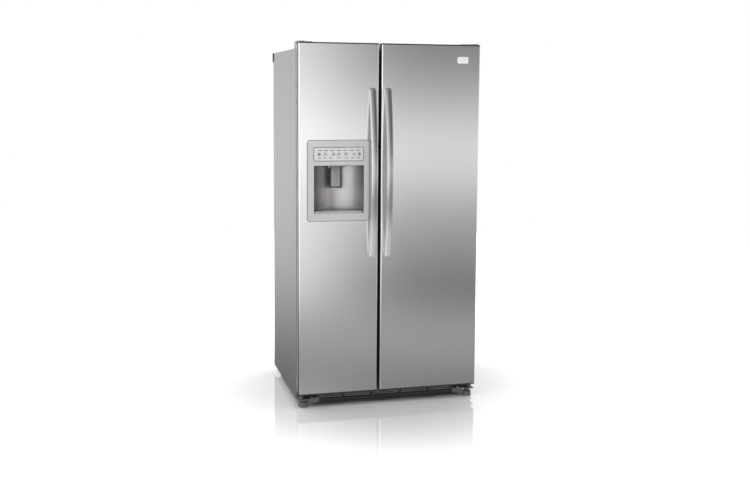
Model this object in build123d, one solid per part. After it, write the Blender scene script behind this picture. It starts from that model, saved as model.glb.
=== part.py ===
from build123d import *
import os
from math import cos, radians, sin

# Side by side refrigerator, in millimetres. +X is the viewer's right, +Y is the back, +Z is up.
# The origin is on the floor under the middle of the refrigerator.

# Driving dimensions
WIDTH = 894.0  # over the side panels
HEIGHT = 1753.0  # floor to the top of the hinge covers
DEPTH = 798.0  # handle fronts to wall spacers
CASE_TOP = 1720.0  # top of the steel cabinet
CASE_BOTTOM = 30.0  # lower edge of the side panels
DOOR_TOP = 1747.0
DOOR_BOTTOM = 66.0
DOOR_PROUD = 69.0  # door front in front of the cabinet front
HANDLE_PROUD = 58.0  # handle front in front of the door front
SPACER = 12.0  # wall spacers behind the rear panel
SPACER_WRAP = 3.0  # how far they reach round the sides
DOOR_SPLIT = -54.0  # middle of the gap between the doors
DOOR_GAP = 14.0
SHEET = 1.5  # cabinet steel
SKIN = 1.2  # door steel
LINER = 2.0  # plastic liners
FIT = 0.3  # clearance round a piece that sits in another
PLAY = 0.1  # clearance between foam and what holds it

# Planes worked out from them
HALF = WIDTH / 2
Y_HANDLE = -DEPTH / 2
Y_DOOR = Y_HANDLE + HANDLE_PROUD
Y_CASE = Y_DOOR + DOOR_PROUD
Y_WALL = DEPTH / 2
Y_BACK = Y_WALL - SPACER

# Cabinet front: flange, rail, mullion
FLANGE = 45.0  # width of the shell's front flange at the sides
FLANGE_TOP = 32.0
RAIL_BOTTOM = 44.0
RAIL_TOP = 128.0
MULLION = (-97.0, -11.0)

# Cavities
CAVITY_SIDE = 398.0
PARTITION = (-92.0, -16.0)
CAVITY_FLOOR = RAIL_TOP + LINER
CAVITY_TOP = 1685.0
CAVITY_BACK = 330.0
STEP_FRONT = 115.0  # the floor rises over the machine compartment behind this
STEP_TOP = 345.0
FREEZER_X = (-CAVITY_SIDE, PARTITION[0])
FRIDGE_X = (PARTITION[1], CAVITY_SIDE)
STORAGE_FRONT = -150.0  # fronts of shelves and drawers

# Machine compartment
PAN = RAIL_BOTTOM + SHEET  # upper face of the base pan
DECK = 88.0  # underside of the deck below the cavity floor
MACHINE_FRONT = 165.0
MACHINE_TOP = 298.0

# Doors
SKIN_DEPTH = 40.0  # how far the skin's sides run back
EDGE_DEPTH = 15.0  # liner edge behind the skin
CAP = 6.0  # visible height of the end caps
CORNER = 5.0  # radius of the skin's vertical front edges
GASKET = 13.5
GASKET_WIDTH = 22.0
Y_SKIN_BACK = Y_DOOR + SKIN_DEPTH
Y_LINER = Y_SKIN_BACK + EDGE_DEPTH
PLATFORM = 25.0  # raised middle of the door liner
Y_PLATFORM = Y_LINER + PLATFORM
DYKE = 45.0  # ribs that carry the bins stand this far above the platform
DYKE_WIDTH = 12.0
Y_DYKE = Y_PLATFORM + DYKE
PLATFORM_Z = (140.0, 1675.0)
DYKE_Z = (160.0, 1660.0)
GASKET_Z = (100.0, 1714.0)
FOAM_Z = (90.0, 1720.0)

# Hinges and screws
HINGE_X = 429.0
HINGE_Y = -312.0
HINGE_ARM = 13.0  # half the width of the top hinge's arm
PIN = 5.0
PIN_HOLE = 5.6
PIN_BUSH = 9.0
HINGE_PLATE = 4.0
RAIL_SCREW_X = (352.0, 376.0)
RAIL_SCREW_Z = 53.0
TOP_SCREWS = tuple((x, -242.0) for x in (386.0, 408.0, 430.0))
COVER_X = (370.0, 445.0)
COVER_Y = (-276.0, -228.0)
COVER_NOSE = 16.0  # half the width of the cover over the hinge arm
SCREW_HEAD = (5.5, 3.0)  # radius and height
SCREW_SHANK = 3.0
SCREW_HOLE = 3.2

# Dispenser on the freezer door
BEZEL_X = (-405.0, -107.0)
BEZEL_Z = (909.0, 1290.0)
BEZEL_PROUD = 4.0
RECESS_X = (-375.0, -132.0)
RECESS_Z = (944.0, 1172.0)
RECESS_DEPTH = 103.0
RECESS_WALL = 3.0
PANEL_X = (-377.0, -133.0)
PANEL_Z = (1192.0, 1259.0)
BULGE_X = (-377.0, -122.0)
BULGE_Z = (890.0, 1335.0)
Y_BULGE = -190.0
CHUTE_X = (-292.0, -214.0)
CHUTE_TOP_Y = (-258.0, -196.0)  # it slopes forward from under the ice bin
CHUTE_FOOT_Y = (-318.0, -274.0)
LEVER_X = (-283.0, -224.0)
LEVER_Y = -268.0
LEVER_Z = (1055.0, 1163.0)
KEY_X = (-322.0, -281.0, -222.0, -182.0)
KEY = (26.0, 14.0)
KEY_COLLAR = (1.5, 1.2)  # how far it reaches past the cap, and its thickness

# Handles
HANDLE_Z = (728.0, 1538.0)
HANDLE_WIDTH = 32.0
HANDLE_OFFSET = 38.0  # handle middle to the middle of the door gap
HANDLE_THICK = 19.0
HANDLE_END = 12.0  # depth of the bar at its two ends
HANDLE_FOOT = 44.0  # height of the solid feet

# Feet and rollers
FOOT_X = 420.0
FOOT_Y = -300.0
FOOT_RADIUS = 21.5
STEM = 6.0
ROLLER_X = 403.0
ROLLER_Y = 330.0
ROLLER_RADIUS = 20.0
ROLLER_WIDTH = 18.0
AXLE = 4.0
AXLE_HOLE = 4.3
AXLE_LENGTH = 32.0
EAR = 2.5  # sheet of the roller brackets
EAR_GAP = 24.0  # between the two ears of a bracket

# Machines
COMPRESSOR = (250.0, 275.0)
CONDENSER_FAN = (-70.0, 275.0, 160.0)
CONDENSER_FAN_RADIUS = 62.0
EVAPORATOR_FAN = (-245.0, 284.0, 900.0)
EVAPORATOR_FAN_RADIUS = 48.0
AUGER = (-245.0, 1400.0)  # x and z of its axis
ICE_MOULD = ((-360.0, -150.0), (-110.0, 220.0), (1540.0, 1600.0))
ICE_BIN = ((-372.0, -118.0), (-213.0, 240.0), (1345.0, 1480.0))
VALVE = (385.0, 120.0)  # x and z of the inlet thread
INLET = (70.0, 90.0)  # x and z of the mains lead bush
SHAFT = 3.0
SHAFT_HOLE = 3.3

# Storage: x ranges, heights of floors and depths
FRIDGE_SHELVES = (560, 820, 1080, 1340)
FREEZER_SHELVES = (575, 770, 965, 1160)
FREEZER_SHELF_BACK = 262.0  # in front of the evaporator cover
FREEZER_DRAWER_X = (-382.0, -100.0)
CRISPER_X = (-8.0, 386.0)
LOWER_DRAWER_Z = (136.0, 322.0)
UPPER_DRAWER_Z = (352.0, 545.0)
UPPER_DRAWER_BACK = 250.0
FREEZER_BINS = (200, 430, 660, 1505)
FREEZER_BIN = (75.0, 100.0)  # depth and height
FRIDGE_BINS = (200, 520, 840, 1160)
FRIDGE_BIN = (95.0, 110.0)
BIN_WALL = 3.0
DAIRY_X = (12.5, 381.5)
DAIRY_Z = (1490.0, 1610.0)
DAIRY_DEPTH = 88.0
DAIRY_WALL = 3.0
DAIRY_HINGE = (Y_PLATFORM + DAIRY_DEPTH - 6, DAIRY_Z[1] - 8)  # y and z

# Badge
BADGE_X = (330.0, 385.0)
BADGE_Z = (1657.0, 1689.0)
BADGE_THICK = 1.6


def block(x, y, z):
    """A box between (low, high) pairs."""
    middle = Pos((x[0] + x[1]) / 2, (y[0] + y[1]) / 2, (z[0] + z[1]) / 2)
    return middle * Box(x[1] - x[0], y[1] - y[0], z[1] - z[0])


def grown(pair, by):
    """A (low, high) pair moved outwards at both ends."""
    return (pair[0] - by, pair[1] + by)


def around(middle, reach):
    """A (low, high) pair with a reach to each side of a middle."""
    return (middle - reach, middle + reach)


def rod(start, direction, length, radius):
    """A cylinder from a point along a direction."""
    return Part() + Solid.make_cylinder(radius, length, Plane(origin=start, z_dir=direction))


def tray(x, y, z, wall):
    """A box that is open at the top."""
    inside = block(grown(x, -wall), grown(y, -wall), (z[0] + wall, z[1] + wall))
    return block(x, y, z) - inside


def plate_xz(x, z, y, corner):
    """A plate in the XZ plane with rounded corners, between two y values."""
    centre = Plane(origin=((x[0] + x[1]) / 2, y[0], (z[0] + z[1]) / 2), x_dir=(1, 0, 0), z_dir=(0, 1, 0))
    return extrude(centre * RectangleRounded(x[1] - x[0], z[1] - z[0], corner), y[1] - y[0])


def both_sides(piece):
    """The piece and its mirror image on the other side."""
    return [piece, mirror(piece, about=Plane.YZ)]


def save(name, *pieces):
    """Writes one node, whose solids are every solid of the pieces."""
    solids = [solid for piece in pieces for solid in piece.solids()]
    export_step(Compound(solids) if len(solids) > 1 else solids[0], f"parts/{name}.step")


# ---------------------------------------------------------------- cabinet


def cabinet_shell():
    """One bent sheet: two sides and the top, with a flange round the front."""
    outline = Pos(0, (CASE_TOP + CASE_BOTTOM) / 2) * Rectangle(WIDTH, CASE_TOP - CASE_BOTTOM)
    outline = fillet(outline.vertices().group_by(Axis.Y)[-1], 4)
    front = Plane(origin=(0, Y_CASE, 0), x_dir=(1, 0, 0), z_dir=(0, -1, 0))
    body = extrude(front * outline, -(Y_BACK - Y_CASE))
    inner_side = HALF - SHEET
    body -= block((-inner_side, inner_side), (Y_CASE + SHEET, Y_BACK + 1), (0, CASE_TOP - SHEET))
    mouth = HALF - FLANGE
    body -= block((-mouth, mouth), (Y_CASE - 1, Y_CASE + SHEET + 1), (0, CASE_TOP - FLANGE_TOP))
    return body - block((-inner_side, inner_side), (Y_CASE - 1, Y_CASE + SHEET + 1), (0, RAIL_TOP))


def base_pan():
    """Front rail, bottom sheet, raised deck and the brackets of the rear rollers."""
    side = (-HALF + SHEET, HALF - SHEET)
    front = Y_CASE + SHEET
    rear = Y_BACK - SHEET - PLAY
    pan = block(side, (Y_CASE, front), (RAIL_BOTTOM, RAIL_TOP))
    rail_lip = 20
    pan += block(side, (front, front + rail_lip), (RAIL_TOP - SHEET, RAIL_TOP))
    pan += block(side, (front, rear), (RAIL_BOTTOM, PAN))
    pan += block(side, (front, MACHINE_FRONT), (DECK, DECK + SHEET))
    pan += block(side, (MACHINE_FRONT, MACHINE_FRONT + SHEET), (DECK, MACHINE_TOP))
    pan += block(side, (MACHINE_FRONT, rear), (MACHINE_TOP, MACHINE_TOP + SHEET))
    for x in (-ROLLER_X, ROLLER_X):
        for cheek in (x - EAR_GAP / 2 - EAR, x + EAR_GAP / 2):
            ear = block((cheek, cheek + EAR), around(ROLLER_Y, 16), (10, PAN - SHEET))
            pan += ear - rod((cheek - 1, ROLLER_Y, ROLLER_RADIUS), (1, 0, 0), EAR + 2, AXLE_HOLE)
    for x, z in rail_screws():
        pan -= rod((x, Y_CASE - 1, z), (0, 1, 0), SHEET + 2, SCREW_HOLE)
    for vent in (-250.0, 0.0, 250.0):
        pan -= block(around(vent, 60), (-200, -60), (RAIL_BOTTOM - 1, PAN + 1))
    return pan


def back_panel():
    """Flat sheet that closes the foam at the back."""
    side = (-HALF + SHEET, HALF - SHEET)
    return block(side, (Y_BACK - SHEET, Y_BACK), (MACHINE_TOP + SHEET, CASE_TOP - SHEET))


def liner_block(x, grow):
    """The cavity's volume with its raised floor at the back, grown outwards by some thickness."""
    floor = CAVITY_FLOOR - grow
    body = block(grown(x, grow), (Y_CASE + SHEET + PLAY, CAVITY_BACK + grow), (floor, CAVITY_TOP + grow))
    step_y = (STEP_FRONT + grow, CAVITY_BACK + grow + 1)
    step = block(grown(x, grow + 1), step_y, (floor - 1, STEP_TOP - grow))
    return body - step


def liner(x, outer_edge, inner_edge):
    """A thin tub with a flange behind the cabinet's front flange and mullion."""
    front = Y_CASE + SHEET + PLAY
    flange = block((min(outer_edge, inner_edge), max(outer_edge, inner_edge)), (front, front + LINER),
                   (CAVITY_FLOOR - LINER, CAVITY_TOP + 25))
    cavity = liner_block(x, 0)
    mouth = block(x, (front - 1, front + LINER + 1), (CAVITY_FLOOR, CAVITY_TOP))
    return liner_block(x, LINER) + flange - cavity - mouth


def cabinet_foam():
    """Foam between the shell and the liners, and over the machine compartment."""
    side = (-HALF + SHEET + PLAY, HALF - SHEET - PLAY)
    low, high = DECK + SHEET + PLAY, CASE_TOP - SHEET - PLAY
    foam = block(side, (Y_CASE + 26, Y_BACK - SHEET - PLAY), (low, high))
    machine = block(grown(side, 1), (MACHINE_FRONT - PLAY, Y_BACK), (low - 1, MACHINE_TOP + SHEET + PLAY))
    foam -= machine
    for x in (FREEZER_X, FRIDGE_X):
        foam -= liner_block(x, LINER + PLAY)
        foam -= block(x, (Y_CASE, 0), (CAVITY_FLOOR, CAVITY_TOP))
    return foam


def centre_mullion():
    """Steel strip in front of the partition, with two webs into the foam space."""
    z = (RAIL_TOP, CASE_TOP - FLANGE_TOP)
    strip = block(MULLION, (Y_CASE, Y_CASE + SHEET), z)
    inset, depth = 17, 22
    for x in (MULLION[0] + inset, MULLION[1] - inset - SHEET):
        strip += block((x, x + SHEET), (Y_CASE + SHEET, Y_CASE + depth), z)
    return strip


def rail_screws():
    """x and z of the screws that hold the bottom hinges to the rail."""
    return [(side * x, RAIL_SCREW_Z) for side in (-1, 1) for x in RAIL_SCREW_X]


def screw(head, direction, length):
    """Pan head screw: head outside, shank along the direction."""
    radius, height = SCREW_HEAD
    start = tuple(at - height * step for at, step in zip(head, direction))
    return rod(start, direction, height, radius) + rod(head, direction, length, SCREW_SHANK)


def bottom_hinge():
    """Right bottom hinge: plate on the rail with a bush and pin for the door, and a skirt beside the foot."""
    top, thick = RAIL_BOTTOM, HINGE_PLATE
    inner, outer = 340, 446
    flange = 3
    flange_y = (Y_CASE - flange, Y_CASE)
    bush_top = DOOR_BOTTOM - 4
    skirt_y = -306
    outline = Polyline((inner, flange_y[0]), (outer, flange_y[0]), (outer, -328), (436, -333),
                       (404, -333), (380, skirt_y), (376, Y_CASE - 12), (inner, Y_CASE - 10), close=True)
    plate = extrude(Plane.XY.offset(top - thick) * make_face(outline), thick)
    plate += block((inner, outer), flange_y, (top - thick, bush_top))
    skirt = make_face(Polyline((inner, 20), (396, 8), (396, top), (380, top), (inner, 38), close=True))
    plate += extrude(Plane(origin=(0, skirt_y, 0), x_dir=(1, 0, 0), z_dir=(0, -1, 0)) * skirt, -flange)
    plate -= rod((FOOT_X, FOOT_Y, top - thick - 1), (0, 0, 1), thick + 2, STEM + FIT)
    plate += rod((HINGE_X, HINGE_Y, top), (0, 0, 1), bush_top - top, PIN_BUSH)
    plate += rod((HINGE_X, HINGE_Y, top), (0, 0, 1), DOOR_BOTTOM + 14 - top, PIN)
    for x, z in rail_screws():
        plate -= rod((x, flange_y[0] - 1, z), (0, 1, 0), flange + 2, SCREW_HOLE)
    return plate


def bottom_hinge_screws():
    return [screw((x, Y_CASE - 3, z), (0, 1, 0), 12) for x, z in rail_screws()]


def top_hinge():
    """Right top hinge: a cranked plate on the cabinet top, over the door, with its pin downwards."""
    over, thick = DOOR_TOP + 1, 3
    width = around(HINGE_X, HINGE_ARM)
    crank_y = (-255, -255 + thick)
    pin_length = 22
    arm = block(width, (HINGE_Y, crank_y[1]), (over, over + thick))
    arm += rod((HINGE_X, HINGE_Y, over), (0, 0, 1), thick, HINGE_ARM)
    arm += block(width, crank_y, (CASE_TOP, over + thick))
    arm += block((376, 444), (crank_y[0], -232), (CASE_TOP, CASE_TOP + thick))
    arm += rod((HINGE_X, HINGE_Y, over - pin_length), (0, 0, 1), pin_length + 1, PIN)
    for x, y in TOP_SCREWS:
        arm -= rod((x, y, CASE_TOP - 1), (0, 0, 1), thick + 2, SCREW_HOLE)
    return arm


def top_hinge_screws():
    """Screws that stop at the cabinet top, where they are clinched."""
    return [screw((x, y, CASE_TOP + 3), (0, 0, -1), 3) for x, y in TOP_SCREWS]


def hinge_cover():
    """Right hinge cover: a moulded cap over the hinge, open below."""
    wall = 1.2
    low = DOOR_TOP + 0.5

    def cap(grow, top):
        nose = block(around(HINGE_X, COVER_NOSE + grow), (HINGE_Y, COVER_Y[1]), (low, top))
        nose += rod((HINGE_X, HINGE_Y, low), (0, 0, 1), top - low, COVER_NOSE + grow)
        return nose + block(grown(COVER_X, grow), grown(COVER_Y, grow), (CASE_TOP + PLAY, top))

    outside = cap(wall, HEIGHT)
    inside = cap(0, HEIGHT - wall)
    inside += block(COVER_X, COVER_Y, (CASE_TOP - 1, CASE_TOP + 1))
    inside += block(around(HINGE_X, COVER_NOSE), (HINGE_Y, COVER_Y[0]), (low - 1, low + 1))
    inside += rod((HINGE_X, HINGE_Y, low - 1), (0, 0, 1), 2, COVER_NOSE)
    return outside - inside


def toe_grille():
    """Kick plate with a lower band, a bright strip and louvre slots above."""
    width, front, back = around(0, 372), Y_CASE - 24, Y_CASE - 18
    thick, low, high = 3, 5, 61
    slot_height, slot_half, slot_pitch = 5, 65, 146
    grille = block(width, (back, back + thick), (low, high))
    for band in ((low, 14), (23, 30)):
        grille += block(width, (front, back), band)
    for bottom in (33.5, 42.0, 50.5):
        for column in range(-2, 3):
            slot_x = around(slot_pitch * column, slot_half)
            grille -= block(slot_x, (back - 1, back + thick + 1), (bottom, bottom + slot_height))
    for x in (-300, 300):
        grille += block(around(x, 8), (back + thick, Y_CASE), (46, 60))
    return grille


def wall_spacer():
    """Plastic block round the rear top corner that keeps the cabinet off the wall."""
    height, inward, forward = 48, 26, 16
    z = (CASE_TOP - height, CASE_TOP)
    outer = HALF + SPACER_WRAP
    behind = block((HALF - inward, outer), (Y_BACK, Y_WALL), z)
    return behind + block((HALF, outer), (Y_BACK - forward, Y_BACK), z)


# ---------------------------------------------------------------- machine compartment


def compressor():
    """Hermetic shell on a foot plate with four mounting legs, a terminal cover and two tube stubs."""
    x, y = COMPRESSOR
    foot = PAN + 12
    seam = 78.0
    profile = Polyline((0, foot + 8), (50, foot + 8), (74, foot + 30), (76, foot + 62), (seam, foot + 66),
                       (76, foot + 70), (72, foot + 118), (48, foot + 142), (0, foot + 148), close=True)
    body = Pos(x, y, 0) * revolve(Plane.XZ * make_face(profile), Axis.Z)
    plate, leg_height, leg, tube = 3, 18, 10, 4
    body += block(around(x, 92), around(y, 62), (foot, foot + plate))
    body += block(around(x, 40), around(y, 40), (foot + plate, foot + 14))
    for dx in (-80, 80):
        for dy in (-50, 50):
            body += rod((x + dx, y + dy, PAN), (0, 0, 1), leg_height, leg)
    body += block(around(x, 24), (y - seam - 14, y - 60), (foot + 40, foot + 100))
    for dx, length in ((-47, 90), (48, 60)):
        body += rod((x + dx, y + 30, foot + 100), (0, 0, 1), length, tube)
    return body


COIL_TUBE = 4.0
COIL_PITCH = 34.0
FIN_COUNT = 14
FIN = 0.8


def finned_coil(x, rows, levels, fin_margin):
    """Serpentine tubes, one per row in y, through a stack of thin fins."""
    coil = Part()
    for y in rows:
        points = []
        for i, z in enumerate(levels):
            ends = (x[0], x[1]) if i % 2 == 0 else (x[1], x[0])
            points += [(ends[0], y, z), (ends[1], y, z)]
        path = FilletPolyline(*points, radius=COIL_PITCH / 2 - 0.5)
        section = Plane(origin=points[0], z_dir=(1, 0, 0)) * Circle(COIL_TUBE)
        coil += sweep(section, path=path)
    first, last = x[0] + COIL_PITCH, x[1] - COIL_PITCH
    fin_y, fin_z = grown((rows[0], rows[-1]), fin_margin), grown((levels[0], levels[-1]), fin_margin)
    for i in range(FIN_COUNT):
        at = first + (last - first) * i / (FIN_COUNT - 1)
        coil += block((at, at + FIN), fin_y, fin_z)
    return coil


def tube_levels(lowest, count):
    return [lowest + COIL_PITCH * i for i in range(count)]


def condenser_coil():
    """Coil beside the condenser fan, on two strips that stand on the base pan."""
    rows, lowest, margin = (225, 270, 315), 80, 12
    coil = finned_coil((-400, -150), rows, tube_levels(lowest, 6), margin)
    for x in (-385, -170):
        coil += block(around(x, 1), (rows[0] - margin, rows[-1] + margin), (PAN, lowest))
    return coil


def evaporator():
    """Coil behind the freezer, hung on two strips from the liner's back."""
    coil = finned_coil((-382, -108), (298, 316), tube_levels(380, 12), 9)
    for strip in ((-350, -347), (-143, -140)):
        coil += block(strip, (300, CAVITY_BACK), (400, 700))
    return coil


def fan(centre, direction, radius, tilt):
    """Hub with five pitched blades and a bore for the motor shaft, facing along a direction."""
    hub, hub_height, blades, root = 14, 18, 5, 12
    wheel = Part() + Cylinder(hub, hub_height)
    length = radius - root
    for i in range(blades):
        blade = Pos(root + length / 2, 0, 0) * Rot(tilt, 0, 0) * Box(length, radius * 0.55, 1.6)
        wheel += Rot(0, 0, 360 / blades * i) * blade
    wheel -= Pos(0, 0, -4) * Cylinder(SHAFT_HOLE, 16)
    return Plane(origin=centre, z_dir=direction) * wheel


def fan_motors():
    """The two fan motors, each with its shaft in the fan's bore and a foot on the structure."""
    x, y, z = CONDENSER_FAN
    condenser = rod((x - 48, y, z), (1, 0, 0), 34, 22) + rod((x - 16, y, z), (1, 0, 0), 16, SHAFT)
    condenser += block((x - 44, x - 20), (y - 12, y + 12), (PAN, z))
    x, y, z = EVAPORATOR_FAN
    freezer = rod((x, y + 14, z), (0, 1, 0), CAVITY_BACK - y - 14, 20)
    return [condenser, freezer + rod((x, y, z), (0, 1, 0), 15, SHAFT)]


def rear_cover():
    """Lower rear panel with louvres, and holes for the water valve and the mains lead."""
    side = (-HALF + SHEET, HALF - SHEET)
    cover = block(side, (Y_BACK - SHEET, Y_BACK), (RAIL_BOTTOM, MACHINE_TOP + SHEET))
    lowest, pitch, slot = 80, 22, 8
    for column in (-300.0, -190.0, 190.0):
        for row in range(9):
            z = lowest + pitch * row
            cover -= block(around(column, 42), (Y_BACK - 3, Y_BACK + 1), (z, z + slot))
    for (x, z), hole in ((VALVE, 15), (INLET, 8.1)):
        cover -= rod((x, Y_BACK - 3, z), (0, 1, 0), 5, hole)
    return cover


def water_valve():
    """Solenoid valve on the base pan with its threaded inlet through the rear cover."""
    x, z = VALVE
    thread, neck, bore = 13.2, 12.0, 8.0
    front, rear = Y_BACK - 48, Y_BACK - 18
    valve = rod((x, Y_BACK, z), (0, 1, 0), SPACER, thread)
    valve += rod((x, rear - 2, z), (0, 1, 0), Y_BACK - rear + 3, neck)
    valve += block(around(x, 20), (front, rear), (z - 26, z + 22))
    coil_y = (front + rear) / 2
    valve += rod((x, coil_y, z + 22), (0, 0, 1), 30, 14)
    valve += block(around(x, 14), (front + 2, rear - 2), (PAN, z - 26))
    return valve - rod((x, Y_BACK - 8, z), (0, 1, 0), 30, bore)


def power_inlet():
    """Grooved bush in the rear cover where the mains lead goes in."""
    x, z = INLET
    bush = rod((x, Y_BACK - 6, z), (0, 1, 0), 14, 8) + rod((x, Y_BACK, z), (0, 1, 0), 4, 11)
    bush += rod((x, Y_BACK - 6, z), (0, 1, 0), 4.4, 10.5)
    return bush - rod((x, Y_BACK - 8, z), (0, 1, 0), 20, 4)


def foot(x):
    """Levelling foot: a round pad and hexagon under a threaded stem."""
    pad, nut, stem = 22.0, 26.0, 34.0
    upward = (Align.CENTER, Align.CENTER, Align.MIN)
    body = Cylinder(FOOT_RADIUS, pad, align=upward)
    body += Pos(0, 0, pad) * Cone(FOOT_RADIUS, FOOT_RADIUS - 4, nut - pad, align=upward)
    body += extrude(Plane.XY.offset(nut) * RegularPolygon(radius=13, side_count=6), stem - nut)
    body += Pos(0, 0, stem) * Cylinder(STEM, DOOR_BOTTOM - 5 - stem, align=upward)
    return Pos(x, FOOT_Y, 0) * body


def roller(x):
    """Rear roller with its axle stubs in the base pan's brackets."""
    wheel = rod((x - ROLLER_WIDTH / 2, ROLLER_Y, ROLLER_RADIUS), (1, 0, 0), ROLLER_WIDTH, ROLLER_RADIUS)
    return wheel + rod((x - AXLE_LENGTH / 2, ROLLER_Y, ROLLER_RADIUS), (1, 0, 0), AXLE_LENGTH, AXLE)


# ---------------------------------------------------------------- inside the compartments


def shelves(x, back, levels):
    """Flat shelves with a raised front trim, resting on the liner at both sides."""
    thick, trim = 5, 8
    made = []
    for z in levels:
        shelf = block(x, (STORAGE_FRONT, back), (z, z + thick))
        made.append(shelf + block(x, (STORAGE_FRONT, STORAGE_FRONT + trim), (z - 5, z + 9)))
    return made


def drawer(x, back, z):
    """Open drawer with a tall front and a finger lip."""
    body = tray(x, (STORAGE_FRONT, back), z, BIN_WALL)
    grip = block(grown(x, -90), (STORAGE_FRONT - 6, STORAGE_FRONT), (z[1] - 16, z[1] - 4))
    return body + grip


def evaporator_cover():
    """Panel in front of the evaporator with a fan opening and cross bars."""
    x = grown(FREEZER_X, -0.2)
    front, top, thick = 265.0, 1000.0, 2.5
    cover = block(x, (front, front + thick), (STEP_TOP, top))
    cover += block(x, (front, CAVITY_BACK), (top, top + thick))
    fx, _, fz = EVAPORATOR_FAN
    opening = rod((fx, front - 1, fz), (0, 1, 0), 5, EVAPORATOR_FAN_RADIUS + 6)
    for turn in range(4):
        opening -= Pos(fx, front, fz) * Rot(0, 45 * turn, 0) * Box(140, 12, 4)
    opening -= rod((fx, front - 1, fz), (0, 1, 0), 5, 18)
    cover -= opening
    for row in range(6):
        z = 380 + 20 * row
        cover -= block((x[0] + 60, x[1] - 60), (front - 1, front + 4), (z, z + 7))
    return cover


def ice_maker():
    """Mould with eight cells, a gear case at the front and two brackets to the liner."""
    x, y, z = ICE_MOULD
    wall = 8.0
    mould = tray(x, y, z, wall)
    cells = 8
    pitch = (y[1] - y[0] - 2 * wall) / cells
    for i in range(1, cells):
        rib = y[0] + wall + pitch * i
        mould += block(grown(x, -wall), around(rib, 2), (z[0] + wall, z[0] + 35))
    mould += block(grown(x, 6), (y[0] - 36, y[0]), (z[0] - 22, z[1] + 22))
    for rear in (-60, 180):
        mould += block((FREEZER_X[0], x[0]), (rear, rear + 14), (z[1] - 30, z[1] - 20))
    return mould


def ice_bin():
    """Bin under the ice maker, with a nose over the door's chute and a bearing for the auger."""
    x, y, z = ICE_BIN
    wall = 3.0
    nose_x, nose_y, nose_top = (-320.0, -185.0), (-245.0, y[0]), 1450.0
    outlet = (-242.0, -216.0)
    outside = block(x, y, z) + block(nose_x, nose_y, (z[0], nose_top))
    inside = block(grown(x, -wall), grown(y, -wall), (z[0] + wall, z[1] + 1))
    inside += block(grown(nose_x, -wall), (nose_y[0] + wall, y[0] + 4), (z[0] + wall, nose_top - wall))
    body = outside - inside - block(grown(CHUTE_X, -6), outlet, (z[0] - 1, z[0] + wall + 1))
    body -= rod((AUGER[0], y[1] - 4, AUGER[1]), (0, 1, 0), 6, 5.3)
    for ledge in ((FREEZER_X[0] + 8, x[0]), (x[1], FREEZER_X[1] - 6)):
        body += block(ledge, (-60, 160), (z[1] - 40, z[1] - 34))
    return body


def ice_auger():
    """Drive shaft with staggered fingers along it."""
    x, z = AUGER
    reach, finger, turn_step, pitch = 44, 4, 32, 30
    shaft = rod((x, -205, z), (0, 1, 0), 455, 5)
    for i in range(14):
        turn = radians(turn_step * i)
        direction = (cos(turn), 0, sin(turn))
        start = (x - reach * direction[0], -190 + pitch * i, z - reach * direction[2])
        shaft += rod(start, direction, 2 * reach, finger)
    return shaft + rod((x, 244, z), (0, 1, 0), 10, 20)


# ---------------------------------------------------------------- doors


class Door:
    """Widths of one door: its outline, raised liner, dykes and gasket, all as (low, high) in x."""

    def __init__(self, outline, platform, gasket):
        self.x = outline
        self.platform = platform
        self.gasket = gasket
        self.hinge = HINGE_X if outline[1] > 0 else -HINGE_X


FREEZER_DOOR = Door((-HALF, DOOR_SPLIT - DOOR_GAP / 2), (-389.0, -100.0), (-427.0, -66.0))
FRIDGE_DOOR = Door((DOOR_SPLIT + DOOR_GAP / 2, HALF), (-9.0, 394.0), (-42.0, 427.0))
DYKE_INSET = {FREEZER_DOOR: (0.0, 12.0), FRIDGE_DOOR: (9.0, 0.0)}


def dykes(door):
    """x ranges of the two ribs that hold the door bins."""
    near, far = DYKE_INSET[door]
    low, high = door.platform
    return [(low + near, low + near + DYKE_WIDTH), (high - far - DYKE_WIDTH, high - far)]


def door_outline(door, inset):
    """Plan of the door skin: rounded at the front corners, square at the back."""
    x = grown(door.x, -inset)
    y = (Y_DOOR + inset, Y_SKIN_BACK)
    sketch = Pos((x[0] + x[1]) / 2, (y[0] + y[1]) / 2) * Rectangle(x[1] - x[0], y[1] - y[0])
    return fillet(sketch.vertices().group_by(Axis.Y)[0], CORNER - inset)


def door_prism(door, inset, z):
    return extrude(Plane.XY.offset(z[0]) * door_outline(door, inset), z[1] - z[0])


def door_skin(door):
    """Stainless sheet bent round the front and both sides."""
    z = (DOOR_BOTTOM + CAP, DOOR_TOP - CAP)
    inside = door_prism(door, SKIN, grown(z, 1))
    inside += block(grown(door.x, -SKIN), (Y_SKIN_BACK - 5, Y_SKIN_BACK + 1), grown(z, 1))
    skin = door_prism(door, 0, z) - inside
    if door is FREEZER_DOOR:
        window = plate_xz(grown(BEZEL_X, -12), grown(BEZEL_Z, -12), (Y_DOOR - 1, Y_DOOR + 3), 8)
        skin -= window
    return skin


def door_caps(door):
    """Moulded caps at the top and bottom, plugged into the skin, with the hinge pin holes."""
    made = []
    for edge, inward in ((DOOR_TOP, -1), (DOOR_BOTTOM, 1)):
        seam = edge + CAP * inward
        tongue = seam + 14 * inward
        cap = door_prism(door, 0.5, sorted((edge, seam)))
        cap += block(grown(door.x, -0.5), (Y_SKIN_BACK - 1, Y_LINER - 0.2), sorted((edge, seam)))
        cap += door_prism(door, SKIN + FIT, sorted((seam, tongue)))
        bore = rod((door.hinge, HINGE_Y, edge + inward * -1), (0, 0, inward), 24, PIN_HOLE)
        made.append(cap - bore)
    return made


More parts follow.
